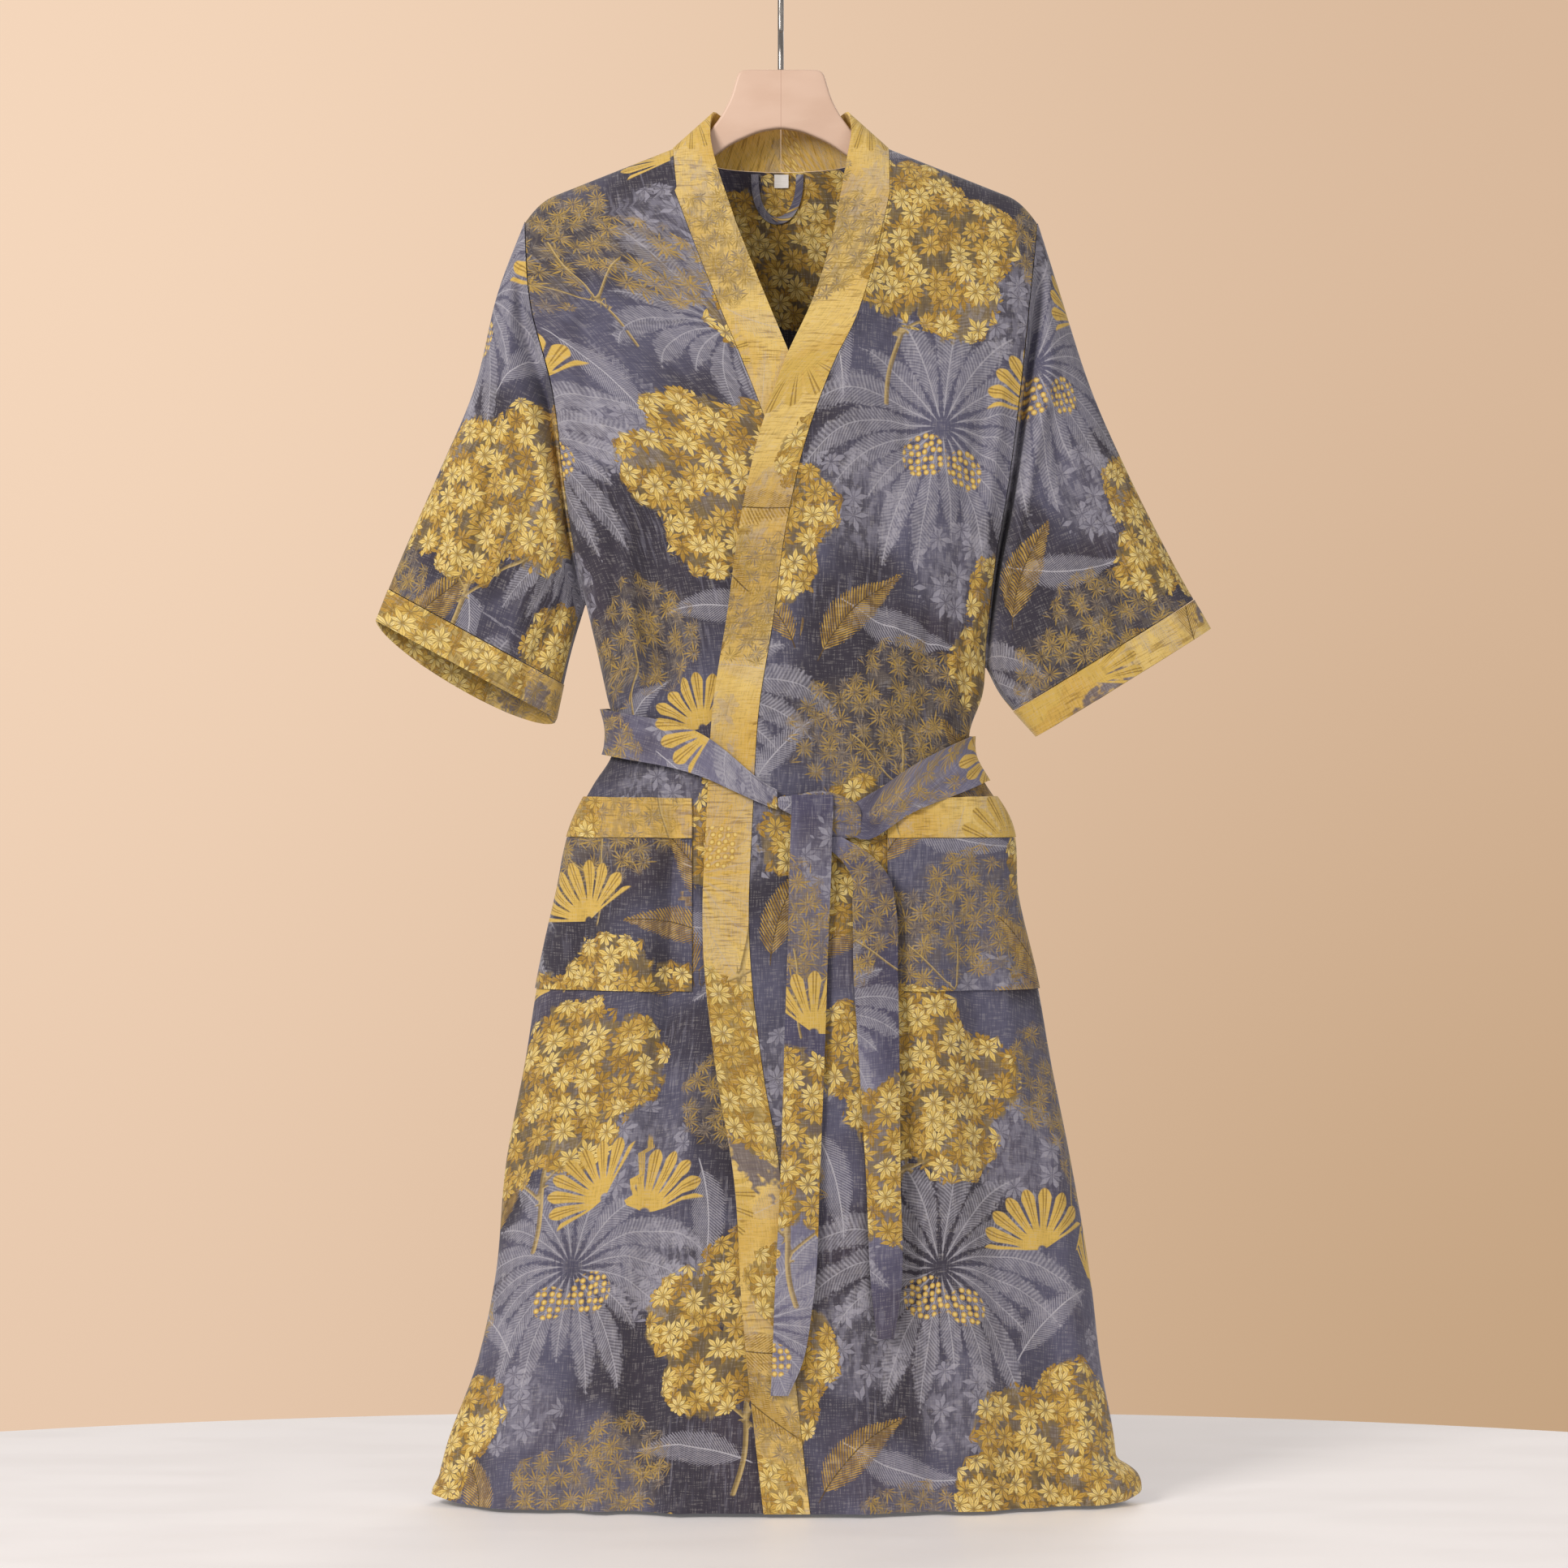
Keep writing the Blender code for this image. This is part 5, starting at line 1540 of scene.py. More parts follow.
@dataclass
class NeckDetails:
    """The hanging loop and the bare label inside the back neck."""

    form: RobeForm
    loop_half_width: float = 19.0
    strip_half: float = 3.2
    loop_drop: float = 38.0
    loop_x: float = -3.0
    label_x: tuple[float, float] = (-5.5, 6.5)
    label_z: tuple[float, float] = (-166.0, -177.0)
    thick: float = 1.0
    upright: float = 0.85
    loop_grid: tuple[int, int] = (61, 5)
    label_grid: tuple[int, int] = (13, 12)

    def inside_back(self, x: Array, z: Array) -> Array:
        """Points just inside the back panel near the neck."""
        form = self.form
        top = form.top_line(x, Face.BACK)
        level = (z - top) / (form.underarm_z - form.underarm_tilt * x / form.underarm_x - top)
        points = form.body(x, np.clip(level, 0, 1), Face.BACK)
        points[..., 1] -= form.wall / self.upright + form.seam
        return points

    def dress(self, shop: "Workshop") -> None:
        """Make the loop and the label."""
        angle = np.linspace(0, math.pi, self.loop_grid[0])
        step = np.linspace(-self.strip_half, self.strip_half, self.loop_grid[1])[:, None]
        x = self.loop_x + (self.loop_half_width + step) * np.cos(angle)
        z = self.form.neck_back_z - 2 - (self.loop_drop + step) * np.sin(angle) ** 0.8
        piece = self.strip("hanging_loop_strip", x, z, Slot.TRIM, shop)
        piece.data.materials[0] = FINISHES[Slot.CLOTH].make()
        across, down = self.label_grid
        x, z = np.meshgrid(np.linspace(*self.label_x, across), np.linspace(*self.label_z, down))
        self.strip("size_label_satin", x, z, Slot.LABEL, shop)

    def strip(self, name: str, x: Array, z: Array, slot: Slot,
              shop: "Workshop") -> bpy.types.Object:
        """Make a strip that lies on the inside of the back.

        Args:
            name: Name of the piece, which starts with its node's.
            x: Places across.
            z: Heights.
            slot: Its material slot.
            shop: Where it is finished.

        Returns:
            The linked object.
        """
        node = name.rpartition("_")[0]
        points = self.inside_back(x, z)
        grid = ClothGrid(points, np.broadcast_to(np.array([0.0, -1.0, 0.0]), points.shape))
        grid.lay_flat(CUTS[node])
        piece = Maker.layer(name, grid, 0, self.thick)
        shop.cloth(piece, grid, [node], slot, "hung", ["back_panel_cloth"])
        return piece


@dataclass
class Hanger:
    """The moulded hanger and its steel wire hook."""

    form: RobeForm
    half: float = 5.0
    round_over: float = 2.2
    wire: float = 5.0
    hook_inner: float = 18.0
    chamfer: float = 0.18
    dome_angles: tuple[float, ...] = (80, 60, 40, 20)
    dome_share: float = 0.9
    wire_stations: int = 120

    def outline(self) -> Array:
        """The plate's edge: neck, arms under the shoulder ridge, tips, and the arch between."""
        under_ridge = np.array([4.6, 3.8, 3.6, 3.6, 3.6, 3.6, 3.6])
        arm = np.array([92.0, 110.0, 132.0, 154.0, 176.0, 189.0, 198.0])
        arm_top = np.stack([arm, self.form.ridge(arm) - under_ridge], axis=1)
        tip = np.array([(203.0, -213.0), (203.0, -222.0), (198.5, -226.0)])
        arm_under = np.array([(185.0, -219.0), (160.0, -208.5), (130.0, -195.0), (105.0, -183.0),
                              (80.0, -170.0), (58.0, -156.5)])
        arch = np.array([(40.0, -144.0), (18.0, -134.5), (0.0, -131.5)])
        plate = np.array([(0.0, -83.0), (31.0, -83.0), (36.0, -86.0), (42.0, -107.0),
                          (50.0, -122.0), (60.0, -135.0), (70.0, -146.0), (82.0, -153.0)])
        right = np.concatenate([plate[1:], arm_top, tip, arm_under, arch[:-1]])
        left = right[::-1] * np.array([-1.0, 1.0])
        return np.concatenate([plate[:1], right, arch[-1:], left])[::-1]

    def plate(self) -> bpy.types.Object:
        """The hanger's plate: its outline rounded by short chords, its edges rounded over."""
        outline = self.outline()
        for _ in range(2):
            ahead = np.roll(outline, -1, axis=0)
            cut = self.chamfer
            outline = np.stack([outline * (1 - cut) + ahead * cut,
                                outline * cut + ahead * (1 - cut)], axis=1).reshape(-1, 2)
        ahead = unit(np.roll(outline, -1, axis=0) - outline)
        behind = unit(outline - np.roll(outline, 1, axis=0))
        tangent = unit(ahead + behind)
        inward = np.stack([-tangent[:, 1], tangent[:, 0]], axis=1)
        turn = np.linspace(0, math.pi / 2, 6)
        inset = self.round_over * (1 - np.sin(turn))
        depth = -self.half + self.round_over * (1 - np.cos(turn))
        insets = np.concatenate([inset, inset[::-1]])
        depths = np.concatenate([depth, -depth[::-1]])
        rings = outline[None] + inward[None] * insets[:, None, None]
        ys = np.broadcast_to(depths[:, None], rings.shape[:2])
        points = np.stack([rings[..., 0], ys, rings[..., 1]], axis=-1)
        return Maker.tube("hanger_moulding", points[::-1], 40)

    def hook(self) -> bpy.types.Object:
        """The hook: a round wire carried along its route, closed by a dome at each end."""
        radius = self.hook_inner + self.wire / 2
        arcs = np.radians(np.linspace(-12, 192, 40))
        bend = np.stack([radius * np.cos(arcs), radius * np.sin(arcs) - self.hook_inner], axis=1)
        stem = np.array([(0.0, -82.6), (0.0, -74.0), (1.0, -66.0), (5.5, -56.0), (12.5, -46.0),
                         (18.0, -34.0)])
        end = np.array([(-20.2, -32.0), (-19.4, -42.0), (-19.0, -53.0)])
        route = np.concatenate([stem, bend, end])
        run = np.append(0, np.cumsum(np.linalg.norm(np.diff(route, axis=0), axis=1)))
        route = through(np.column_stack([run, route]), np.linspace(0, run[-1], self.wire_stations))
        tangent = unit(np.gradient(route, axis=0))
        side = np.stack([-tangent[:, 1], tangent[:, 0]], axis=1)
        turn = np.linspace(0, 2 * math.pi, 24, endpoint=False)
        dome = np.radians(self.dome_angles)
        grow = np.concatenate([np.cos(dome), np.ones(len(route)), np.cos(dome[::-1])])
        ahead = np.concatenate([-np.sin(dome), np.zeros(len(route)), np.sin(dome[::-1])])
        at = np.clip(np.arange(-len(dome), len(route) + len(dome)), 0, len(route) - 1)
        half = self.wire / 2
        place = route[at] + tangent[at] * (ahead * half * self.dome_share)[:, None]
        ring = place[:, None] + side[at][:, None] * (half * grow[:, None] * np.cos(turn))[..., None]
        x = half * grow[:, None] * np.sin(turn)[None]
        points = np.stack([x, ring[..., 0], ring[..., 1]], axis=-1)
        return Maker.tube("hook_wire", points, 60)

    def dress(self, shop: "Workshop") -> None:
        """Make the plate and the wire."""
        shop.plain(self.plate(), ["hanger"], Slot.HANGER)
        shop.plain(self.hook(), ["hook"], Slot.HOOK)


def linear(code: str) -> tuple[float, float, float, float]:
    """Turn an sRGB hex colour to linear light with full opacity."""
    parts = np.array([int(code[i:i + 2], 16) for i in (0, 2, 4)]) / 255
    light = np.where(parts <= 0.04045, parts / 12.92, ((parts + 0.055) / 1.055) ** 2.4)
    return (*light.tolist(), 1.0)


Value = "Reading | bpy.types.NodeSocket | float | tuple"


def add_node(tree: bpy.types.NodeTree, kind: str, settings: dict[str, object] | None = None,
             inputs: dict[str | int, Value] | None = None) -> bpy.types.Node:
    """Add a node with its settings and links.

    Args:
        tree: Tree to add it to.
        kind: The node's type.
        settings: Values of its own properties.
        inputs: A value, a socket or a reading for each input, by name or place.

    Returns:
        The node.
    """
    node = tree.nodes.new(kind)
    for key, value in (settings or {}).items():
        setattr(node, key, value)
    for key, value in (inputs or {}).items():
        value = value.socket if isinstance(value, Reading) else value
        if isinstance(value, bpy.types.NodeSocket):
            tree.links.new(value, node.inputs[key])
        else:
            node.inputs[key].default_value = value
    return node


@dataclass(frozen=True)
class Reading:
    """A number that nodes work out; arithmetic on it adds math nodes."""

    tree: bpy.types.NodeTree
    socket: bpy.types.NodeSocket

    def math(self, operation: str, *others: Value) -> "Reading":
        """Run one math operation on this number.

        Args:
            operation: The math node's operation.
            others: Its other inputs.

        Returns:
            The result.
        """
        node = add_node(self.tree, "ShaderNodeMath", {"operation": operation},
                        dict(enumerate((self, *others))))
        return Reading(self.tree, node.outputs[0])

    def __add__(self, other: Value) -> "Reading":
        """Add."""
        return self.math("ADD", other)

    def __sub__(self, other: Value) -> "Reading":
        """Take away."""
        return self.math("SUBTRACT", other)

    def __mul__(self, other: Value) -> "Reading":
        """Multiply."""
        return self.math("MULTIPLY", other)

    def __truediv__(self, other: Value) -> "Reading":
        """Divide."""
        return self.math("DIVIDE", other)

    def __rsub__(self, other: float) -> "Reading":
        """Take this from a number."""
        return (self * -1.0) + other

    def step(self, low: float, high: float) -> "Reading":
        """Rise smoothly from 0 at low to 1 at high, or fall if low is above high."""
        node = add_node(self.tree, "ShaderNodeMapRange", {"interpolation_type": "SMOOTHSTEP"},
                        {"Value": self, "From Min": low, "From Max": high})
        return Reading(self.tree, node.outputs[0])


@dataclass
class Painter:
    """Paints one cotton print in nodes, layer over layer, on the pieces' own flat places."""

    tree: bpy.types.NodeTree
    colour: bpy.types.NodeSocket = None

    def parts(self, name: str) -> tuple[Reading, Reading, Reading]:
        """The three numbers of a piece's attribute."""
        read = add_node(self.tree, "ShaderNodeAttribute", {"attribute_name": name})
        split = add_node(self.tree, "ShaderNodeSeparateXYZ", inputs={0: read.outputs["Vector"]})
        return tuple(Reading(self.tree, out) for out in split.outputs)

    def noise(self, scale: float, detail: float = 2.0, stretch: tuple[float, float] = (1, 1),
              shift: float = 0.0) -> Reading:
        """Soft noise on the flat cloth, around 0.5.

        Args:
            scale: Features to a metre.
            detail: Octaves.
            stretch: Further scale across and down.
            shift: Seed, as a shift of the pattern.

        Returns:
            The noise.
        """
        moved = add_node(self.tree, "ShaderNodeMapping", inputs={
            "Vector": self.place, "Location": (shift, shift * 0.7, 0),
            "Scale": (stretch[0], stretch[1], 0)})
        node = add_node(self.tree, "ShaderNodeTexNoise", {"noise_dimensions": "2D"}, {
            "Vector": moved.outputs[0], "Scale": scale, "Detail": detail})
        return Reading(self.tree, node.outputs["Fac"])

    def lay(self, share: Reading, colour: str | bpy.types.NodeSocket) -> None:
        """Lay a colour over what is painted, as far as share says."""
        self.colour = self.blend(share, self.colour, colour)

    def blend(self, share: Reading, first: str | bpy.types.NodeSocket,
              second: str | bpy.types.NodeSocket) -> bpy.types.NodeSocket:
        """A colour between two, each a hex value or a socket."""
        first, second = (linear(end) if isinstance(end, str) else end for end in (first, second))
        node = add_node(self.tree, "ShaderNodeMix", {"data_type": "RGBA"},
                        {0: share, 6: first, 7: second})
        return node.outputs[2]

    def rosettes(self, cell: float, leaves: int, length: float, half_width: float, cover: Reading,
                 shift: float, missing: float = 0.0) -> tuple[Reading, Reading, Reading, Reading]:
        """Leaf rosettes: in each cell, pointed leaves round its middle.

        A leaf's half width is a sine of its share along raised to a power, and a few rosettes are
        left out, so that the ground shows between the rest.

        Args:
            cell: Spacing of the rosettes in millimetres.
            leaves: Leaves in a rosette.
            length: A leaf's length.
            half_width: Half its greatest width.
            cover: How far inside the tree's crown a place is; leaves shrink away at its edge.
            shift: Seed.
            missing: Share of the rosettes that are left out.

        Returns:
            Share of leaf, of outline, of midrib, and a random tone for each leaf.
        """
        moved = add_node(self.tree, "ShaderNodeMapping", inputs={
            "Vector": self.place, "Location": (shift, -shift, 0), "Scale": (1, 1, 0)})
        cells = add_node(self.tree, "ShaderNodeTexVoronoi", {"voronoi_dimensions": "2D"}, {
            "Vector": moved.outputs[0], "Scale": 1000.0 / cell, "Randomness": 0.82})
        own = add_node(self.tree, "ShaderNodeVectorMath", {"operation": "SUBTRACT"},
                       {0: moved.outputs[0], 1: cells.outputs["Position"]})
        split = add_node(self.tree, "ShaderNodeSeparateXYZ", inputs={0: own.outputs[0]})
        x, y = (Reading(self.tree, split.outputs[i]) * 1000.0 for i in (0, 1))
        chance = Reading(self.tree, add_node(self.tree, "ShaderNodeSeparateColor", inputs={
            0: cells.outputs["Color"]}).outputs[0])
        each = 2 * math.pi / leaves
        angle = y.math("ARCTAN2", x) + chance * 6.28
        off = angle.math("WRAP", each / 2, -each / 2)
        tone = ((angle - off) * 3.7 + chance * 9.0).math("SINE") * 0.5 + 0.5
        reach = (x * x + y * y).math("SQRT")
        along = reach * off.math("COSINE")
        across = (reach * off.math("SINE")).math("ABSOLUTE")
        kept = (chance * 17.3).math("FRACT").step(missing, missing + 0.02)
        size = (cover + (chance - 0.5) * 0.16).step(-0.08, 0.10) * (tone * 0.34 + 0.68) * kept
        share = (along / (size * length + 0.01)).math("MINIMUM", 1.0).math("MAXIMUM", 0.0)
        width = (share.math("POWER", 0.85) * math.pi).math("SINE").math("MAXIMUM", 0.0)
        width = width.math("POWER", 1.35) * half_width * size
        width = width.math("MINIMUM", along * (0.96 * math.tan(each / 2)))
        inside = (width - across) * along.step(length * 1.3, length * 1.2)
        leaf = inside.step(0.0, 0.25)
        line = inside.step(0.6, 0.2) * leaf
        rib = across.step(0.34, 0.08) * leaf
        return leaf, line, rib, tone

    def feathers(self, name: str, guard: Reading, spread: float,
                 pitch: float) -> tuple[Reading, Reading]:
        """Feathered leaves: a lens about the midrib, cut by slanting barbs.

        Args:
            name: The attribute with the share along, millimetres across and length.
            guard: How far out of the frond's lens a place is.
            spread: Half width as a part of the length.
            pitch: Spacing of the barbs in millimetres.

        Returns:
            Share of barb, and of midrib.
        """
        share, across, length = self.parts(name)
        far = across.math("ABSOLUTE")
        near = guard.step(1.3, 1.15)
        lens = (share.math("POWER", 0.75) * math.pi).math("SINE") * length * spread
        ragged = (self.noise(420, 1.0, shift=spread) - 0.5) * 5.0
        phase = (share * length - far * 1.15) * (2 * math.pi / pitch)
        wave = phase.math("SINE")
        inside = (lens * (wave * 0.16 + 0.84) - far + ragged).step(0.0, 1.0)
        inside = inside * share.step(0.0, 0.02) * share.step(1.0, 0.97)
        barb = (wave.step(-0.8, 0.5) * 0.85 + 0.15) * inside * near
        rib = far.step(0.8, 0.3) * share.step(-0.12, -0.1) * share.step(0.95, 0.9) * near
        return barb, rib

    def palm(self) -> tuple[Reading, Reading]:
        """A palm's crown: fronds at even turns that droop with reach, each cut into barbs."""
        x, y, guard = self.parts("crown")
        reach = (x * x + y * y).math("SQRT")
        droop = reach * reach * (x / (reach + 0.01)) * 0.55
        angle = y.math("ARCTAN2", x) + droop
        each = 2 * math.pi / 17
        off = angle.math("WRAP", each / 2, -each / 2)
        tone = ((angle - off) * 5.3).math("SINE") * 0.5 + 0.5
        side = off.math("ABSOLUTE") / (each / 2)
        lens = (reach / (tone * 0.35 + 0.62) * 2.9).math("SINE")
        ragged = (self.noise(330, 1.5, shift=0.7) - 0.5) * 0.7
        inside = (lens - side * 0.9 + ragged).step(0.0, 0.25) * reach.step(1.0, 0.94)
        inside = inside * reach.step(0.02, 0.12)
        barb = ((reach * 40.0 - side * 3.4) * 2 * math.pi).math("SINE").step(-0.8, 0.8)
        near = guard.step(1.2, 1.1)
        rib = (side * reach).step(0.035, 0.012) * inside * near
        return inside * (barb * 0.6 + 0.4) * near, rib

    def fan(self) -> tuple[Reading, Reading]:
        """A fan leaf: leaflets side by side in a sector, with rounded tips and fine pleats."""
        x, y, guard = self.parts("fan")
        reach = (x * x + y * y).math("SQRT")
        angle = x.math("ARCTAN2", y)
        each = math.radians(19)
        off = angle.math("WRAP", each / 2, -each / 2).math("ABSOLUTE") / (each / 2)
        tip = 1.0 - off * off * 0.22 - reach
        inside = tip.step(0.0, 0.03) * angle.math("ABSOLUTE").step(1.3, 1.26) * reach.step(0.06, 0.1)
        leaflet = inside * (off * reach.step(0.0, 0.5)).step(0.86, 0.7) * guard.step(1.2, 1.1)
        pleat = (off * 9.0).math("SINE").step(0.55, 0.95) * leaflet * reach.step(0.3, 0.6)
        return leaflet, pleat

    def slate_ground(self, dark: str, light: str) -> None:
        """The slate ground: a blue grey wash that drifts to purple grey and to lilac.

        Args:
            dark: Its deepest tone.
            light: Its lightest tone.
        """
        wash = self.noise(6.0, 3.0)
        self.colour = self.blend(wash.step(0.40, 0.62), dark, light)
        self.lay(self.noise(9.0, 3.0, shift=3.1).step(0.5, 0.75) * 0.6, "4a424e")
        strokes = self.noise(60.0, 3.0, (5.0, 0.55), 1.7).step(0.52, 0.68)
        self.lay(strokes * self.noise(11.0, 2.0, shift=5.5).step(0.45, 0.65) * 0.38, "8b8998")

    def golden_ground(self, dark: str, light: str) -> None:
        """The golden ground of the bands: warm yellow, fine brown strokes, and slate breaks.

        Args:
            dark: Its deepest tone.
            light: Its lightest tone.
        """
        wash = self.noise(9.0, 3.0)
        self.colour = self.blend(wash.step(0.35, 0.65), dark, light)
        slats = self.noise(240.0, 2.0, (0.35, 3.0), 3.3).step(0.5, 0.7)
        self.lay(slats * 0.30, "b88f3c")
        lines = self.noise(75.0, 2.5, (0.5, 5.5), 2.3).step(0.56, 0.66)
        self.lay(lines * self.noise(13.0, 2.0, shift=4.4).step(0.40, 0.56) * 0.62, "94702f")
        breaks = (self.noise(7.5, 2.5, shift=7.9) + (self.noise(160.0, 1.0, shift=1.0) - 0.5) * 0.12)
        self.lay(breaks.step(0.645, 0.68) * 0.85, "625e6f")

    def plants(self, ground_share: float) -> None:
        """Lay the plants over the ground, the far ones first.

        Args:
            ground_share: How much of the grey plants shows on this ground.
        """
        leafy, misty, starry = self.parts("groves")
        berry, gold_guard, grey_guard = self.parts("guard")
        hatch = self.noise(150.0, 2.5, (1.0, 0.6), 8.8).step(0.42, 0.62)
        self.lay(misty.step(-0.1, 0.4) * (hatch * 0.5 + 0.2) * ground_share, "8a8897")
        leaf, line, rib, tone = self.rosettes(23, 9, 15.0, 2.6, misty, 0.31, 0.12)
        self.lay(leaf * (tone * 0.4 + 0.4) * ground_share, "a19fad")
        self.lay(line * 0.5 * ground_share, "5f5c6c")
        barb, rib = self.feathers("plume", grey_guard, 0.17, 2.5)
        self.lay(barb * 0.72 * ground_share, "a8a6b2")
        self.lay(rib * 0.8 * ground_share, "c3c1c9")
        frond, rib = self.palm()
        self.lay(frond * (hatch * 0.25 + 0.55) * ground_share, "a9a7b2")
        self.lay(rib * 0.6 * ground_share, "bab8c1")
        self.lay(starry.step(-0.1, 0.35) * (hatch * 0.34 + 0.12), "7d7264")
        for cell, shift, light in ((17, 0.57, "8d7d68"), (19, 0.23, "a58a4c"), (21, 0.71, "b8984d")):
            leaf, line, rib, tone = self.rosettes(cell, 13, cell * 0.62, 0.85, starry, shift, 0.1)
            self.lay(leaf * (tone * 0.4 + 0.5), light)
        barb, rib = self.feathers("frond", gold_guard, 0.19, 3.0)
        self.lay(barb * 0.9, self.blend(hatch, "9c7a33", "c8a24a"))
        self.lay(rib * 0.9, "5f4a26")
        across, far, half = self.parts("stem")
        stem = (half - across.math("ABSOLUTE")).step(-0.3, 0.3) * (far - half).step(4.0, 2.0)
        self.lay(stem * 0.85, self.blend((across / half).step(-0.6, 0.5), "cdb272", "8d7748"))
        self.lay((leafy + (hatch - 0.5) * 0.12).step(0.02, 0.12) * (hatch * 0.3 + 0.5), "8b7646")
        for shift, light, deep, missing in ((0.11, "c59b42", "aa8538", 0.0),
                                            (0.47, "e2c064", "cba34a", 0.06),
                                            (0.83, "fae49a", "ebcb70", 0.18)):
            leaf, line, rib, tone = self.rosettes(21, 9, 14.2, 2.4, leafy, shift, missing)
            self.lay(leaf, self.blend(tone, light, deep))
            self.lay(line * 0.8, "6f5425")
            self.lay(rib * 0.6, "8e6d30")
        leaflet, pleat = self.fan()
        self.lay(leaflet, "dcb95f")
        self.lay(pleat * 0.7, "8c6a2e")
        self.berries(berry)

    def berries(self, cover: Reading) -> None:
        """Small round berries, each lit at its middle."""
        cells = add_node(self.tree, "ShaderNodeTexVoronoi", {"voronoi_dimensions": "2D"}, {
            "Vector": self.place, "Scale": 1000.0 / 6.2, "Randomness": 0.35})
        far = Reading(self.tree, cells.outputs["Distance"])
        berry = far.step(0.42, 0.36) * cover.step(0.0, 0.1)
        self.lay(berry, self.blend(far.step(0.1, 0.4), "efd27c", "b98f3a"))

    @property
    def place(self) -> bpy.types.NodeSocket:
        """Places on the flat cloth in metres."""
        found = self.tree.nodes.get("flat_place")
        if not found:
            found = add_node(self.tree, "ShaderNodeAttribute", {"attribute_name": "cloth"})
            found.name = "flat_place"
        return found.outputs["Vector"]


class Ground(Enum):
    """The print's grounds, each with its deepest and its lightest tone."""

    SLATE = ("3f3b46", "5f5e73")
    PALE_SLATE = ("55526a", "7b7990")
    GOLDEN = ("dcb55b", "edcd7b")


@dataclass(frozen=True)
class Finish:
    """What every material has: its name, and its shader's own numbers."""

    name: str

    def paint(self, tree: bpy.types.NodeTree) -> tuple[bpy.types.NodeSocket, dict[str, Value]]:
        """Add the nodes: returns the colour, and the bump's own inputs."""
        raise NotImplementedError

    def constants(self) -> dict[str, Value]:
        """Values of the shader's own sockets."""
        raise NotImplementedError

    def make(self) -> bpy.types.Material:
        """Make the material once and find it after that."""
        found = bpy.data.materials.get(self.name)
        if found:
            return found
        made = bpy.data.materials.new(self.name)
        made.use_nodes = True
        tree = made.node_tree
        shader = tree.nodes["Principled BSDF"]
        colour, relief = self.paint(tree)
        bump = add_node(tree, "ShaderNodeBump", inputs=relief)
        tree.links.new(colour, shader.inputs["Base Color"])
        tree.links.new(bump.outputs[0], shader.inputs["Normal"])
        for key, value in self.constants().items():
            shader.inputs[key].default_value = value
        return made


@dataclass(frozen=True)
class PrintedGauze(Finish):
    """Cotton double gauze, plain woven from slubby yarn and screen printed.

    The yarns show as fine uneven lines both ways, their own uneven tone with a painted highlight on
    the raised yarns and painted shade between them, and the two layers shrink into a soft crinkle.
    It is matt, with the faint bloom of cotton fibre at grazing angles. Yarns are drawn about twice
    as coarse as real ones, so that they show.
    """

    ground: Ground
    yarn_mm: float = 1.1
    crinkle_mm: float = 7.0
    crush_mm: float = 21.7
    grey_on_gold: float = 0.35
    roughness: float = 0.88
    sheen: float = 0.22

    def paint(self, tree: bpy.types.NodeTree) -> tuple[bpy.types.NodeSocket, dict[str, Value]]:
        """Print the ground and the plants, then the yarns with their painted highlight and painted
        shade, and a painted shade line along the stitches.
        """
        paint = Painter(tree)
        golden = self.ground is Ground.GOLDEN
        (paint.golden_ground if golden else paint.slate_ground)(*self.ground.value)
        paint.plants(self.grey_on_gold if golden else 1.0)
        per_metre = 1000.0 / self.yarn_mm
        warp = paint.noise(per_metre, 1.0, (1.0, 0.09), 0.4)
        weft = paint.noise(per_metre, 1.0, (0.09, 1.0), 0.9)
        yarn = warp + weft - 1.0
        # The yarn lines are partly the yarns' own uneven tone and partly painted light: a painted
        # highlight where the yarns stand high in the bump, and painted shade where they lie low.
        paint.lay(yarn.step(0.06, 0.34) * 0.20, "c9c4c0")
        paint.lay(yarn.step(-0.06, -0.34) * 0.22, "2f2c38")
        _, _, stitch = paint.parts("cloth")
        # Painted shade: a darker line along each line of stitches, over the groove that the bump
        # presses there.
        seam = stitch.step(0.9, 0.3)
        paint.lay(seam * 0.30, "3b3540")
        crinkle = paint.noise(1000.0 / self.crinkle_mm, 2.5, (1.0, 0.45), 2.2)
        crush = paint.noise(1000.0 / self.crush_mm, 2.0, (1.0, 0.6), 6.2)
        height = yarn * 0.10 + crinkle * 0.55 + crush * 0.9 - seam * 0.35
        return paint.colour, {"Strength": 0.6, "Distance": 0.0018, "Height": height}

    def constants(self) -> dict[str, Value]:
        """Matt cotton with a soft sheen."""
        return {"Roughness": self.roughness, "Sheen Weight": self.sheen, "Sheen Roughness": 0.5,
                "Specular IOR Level": 0.25}


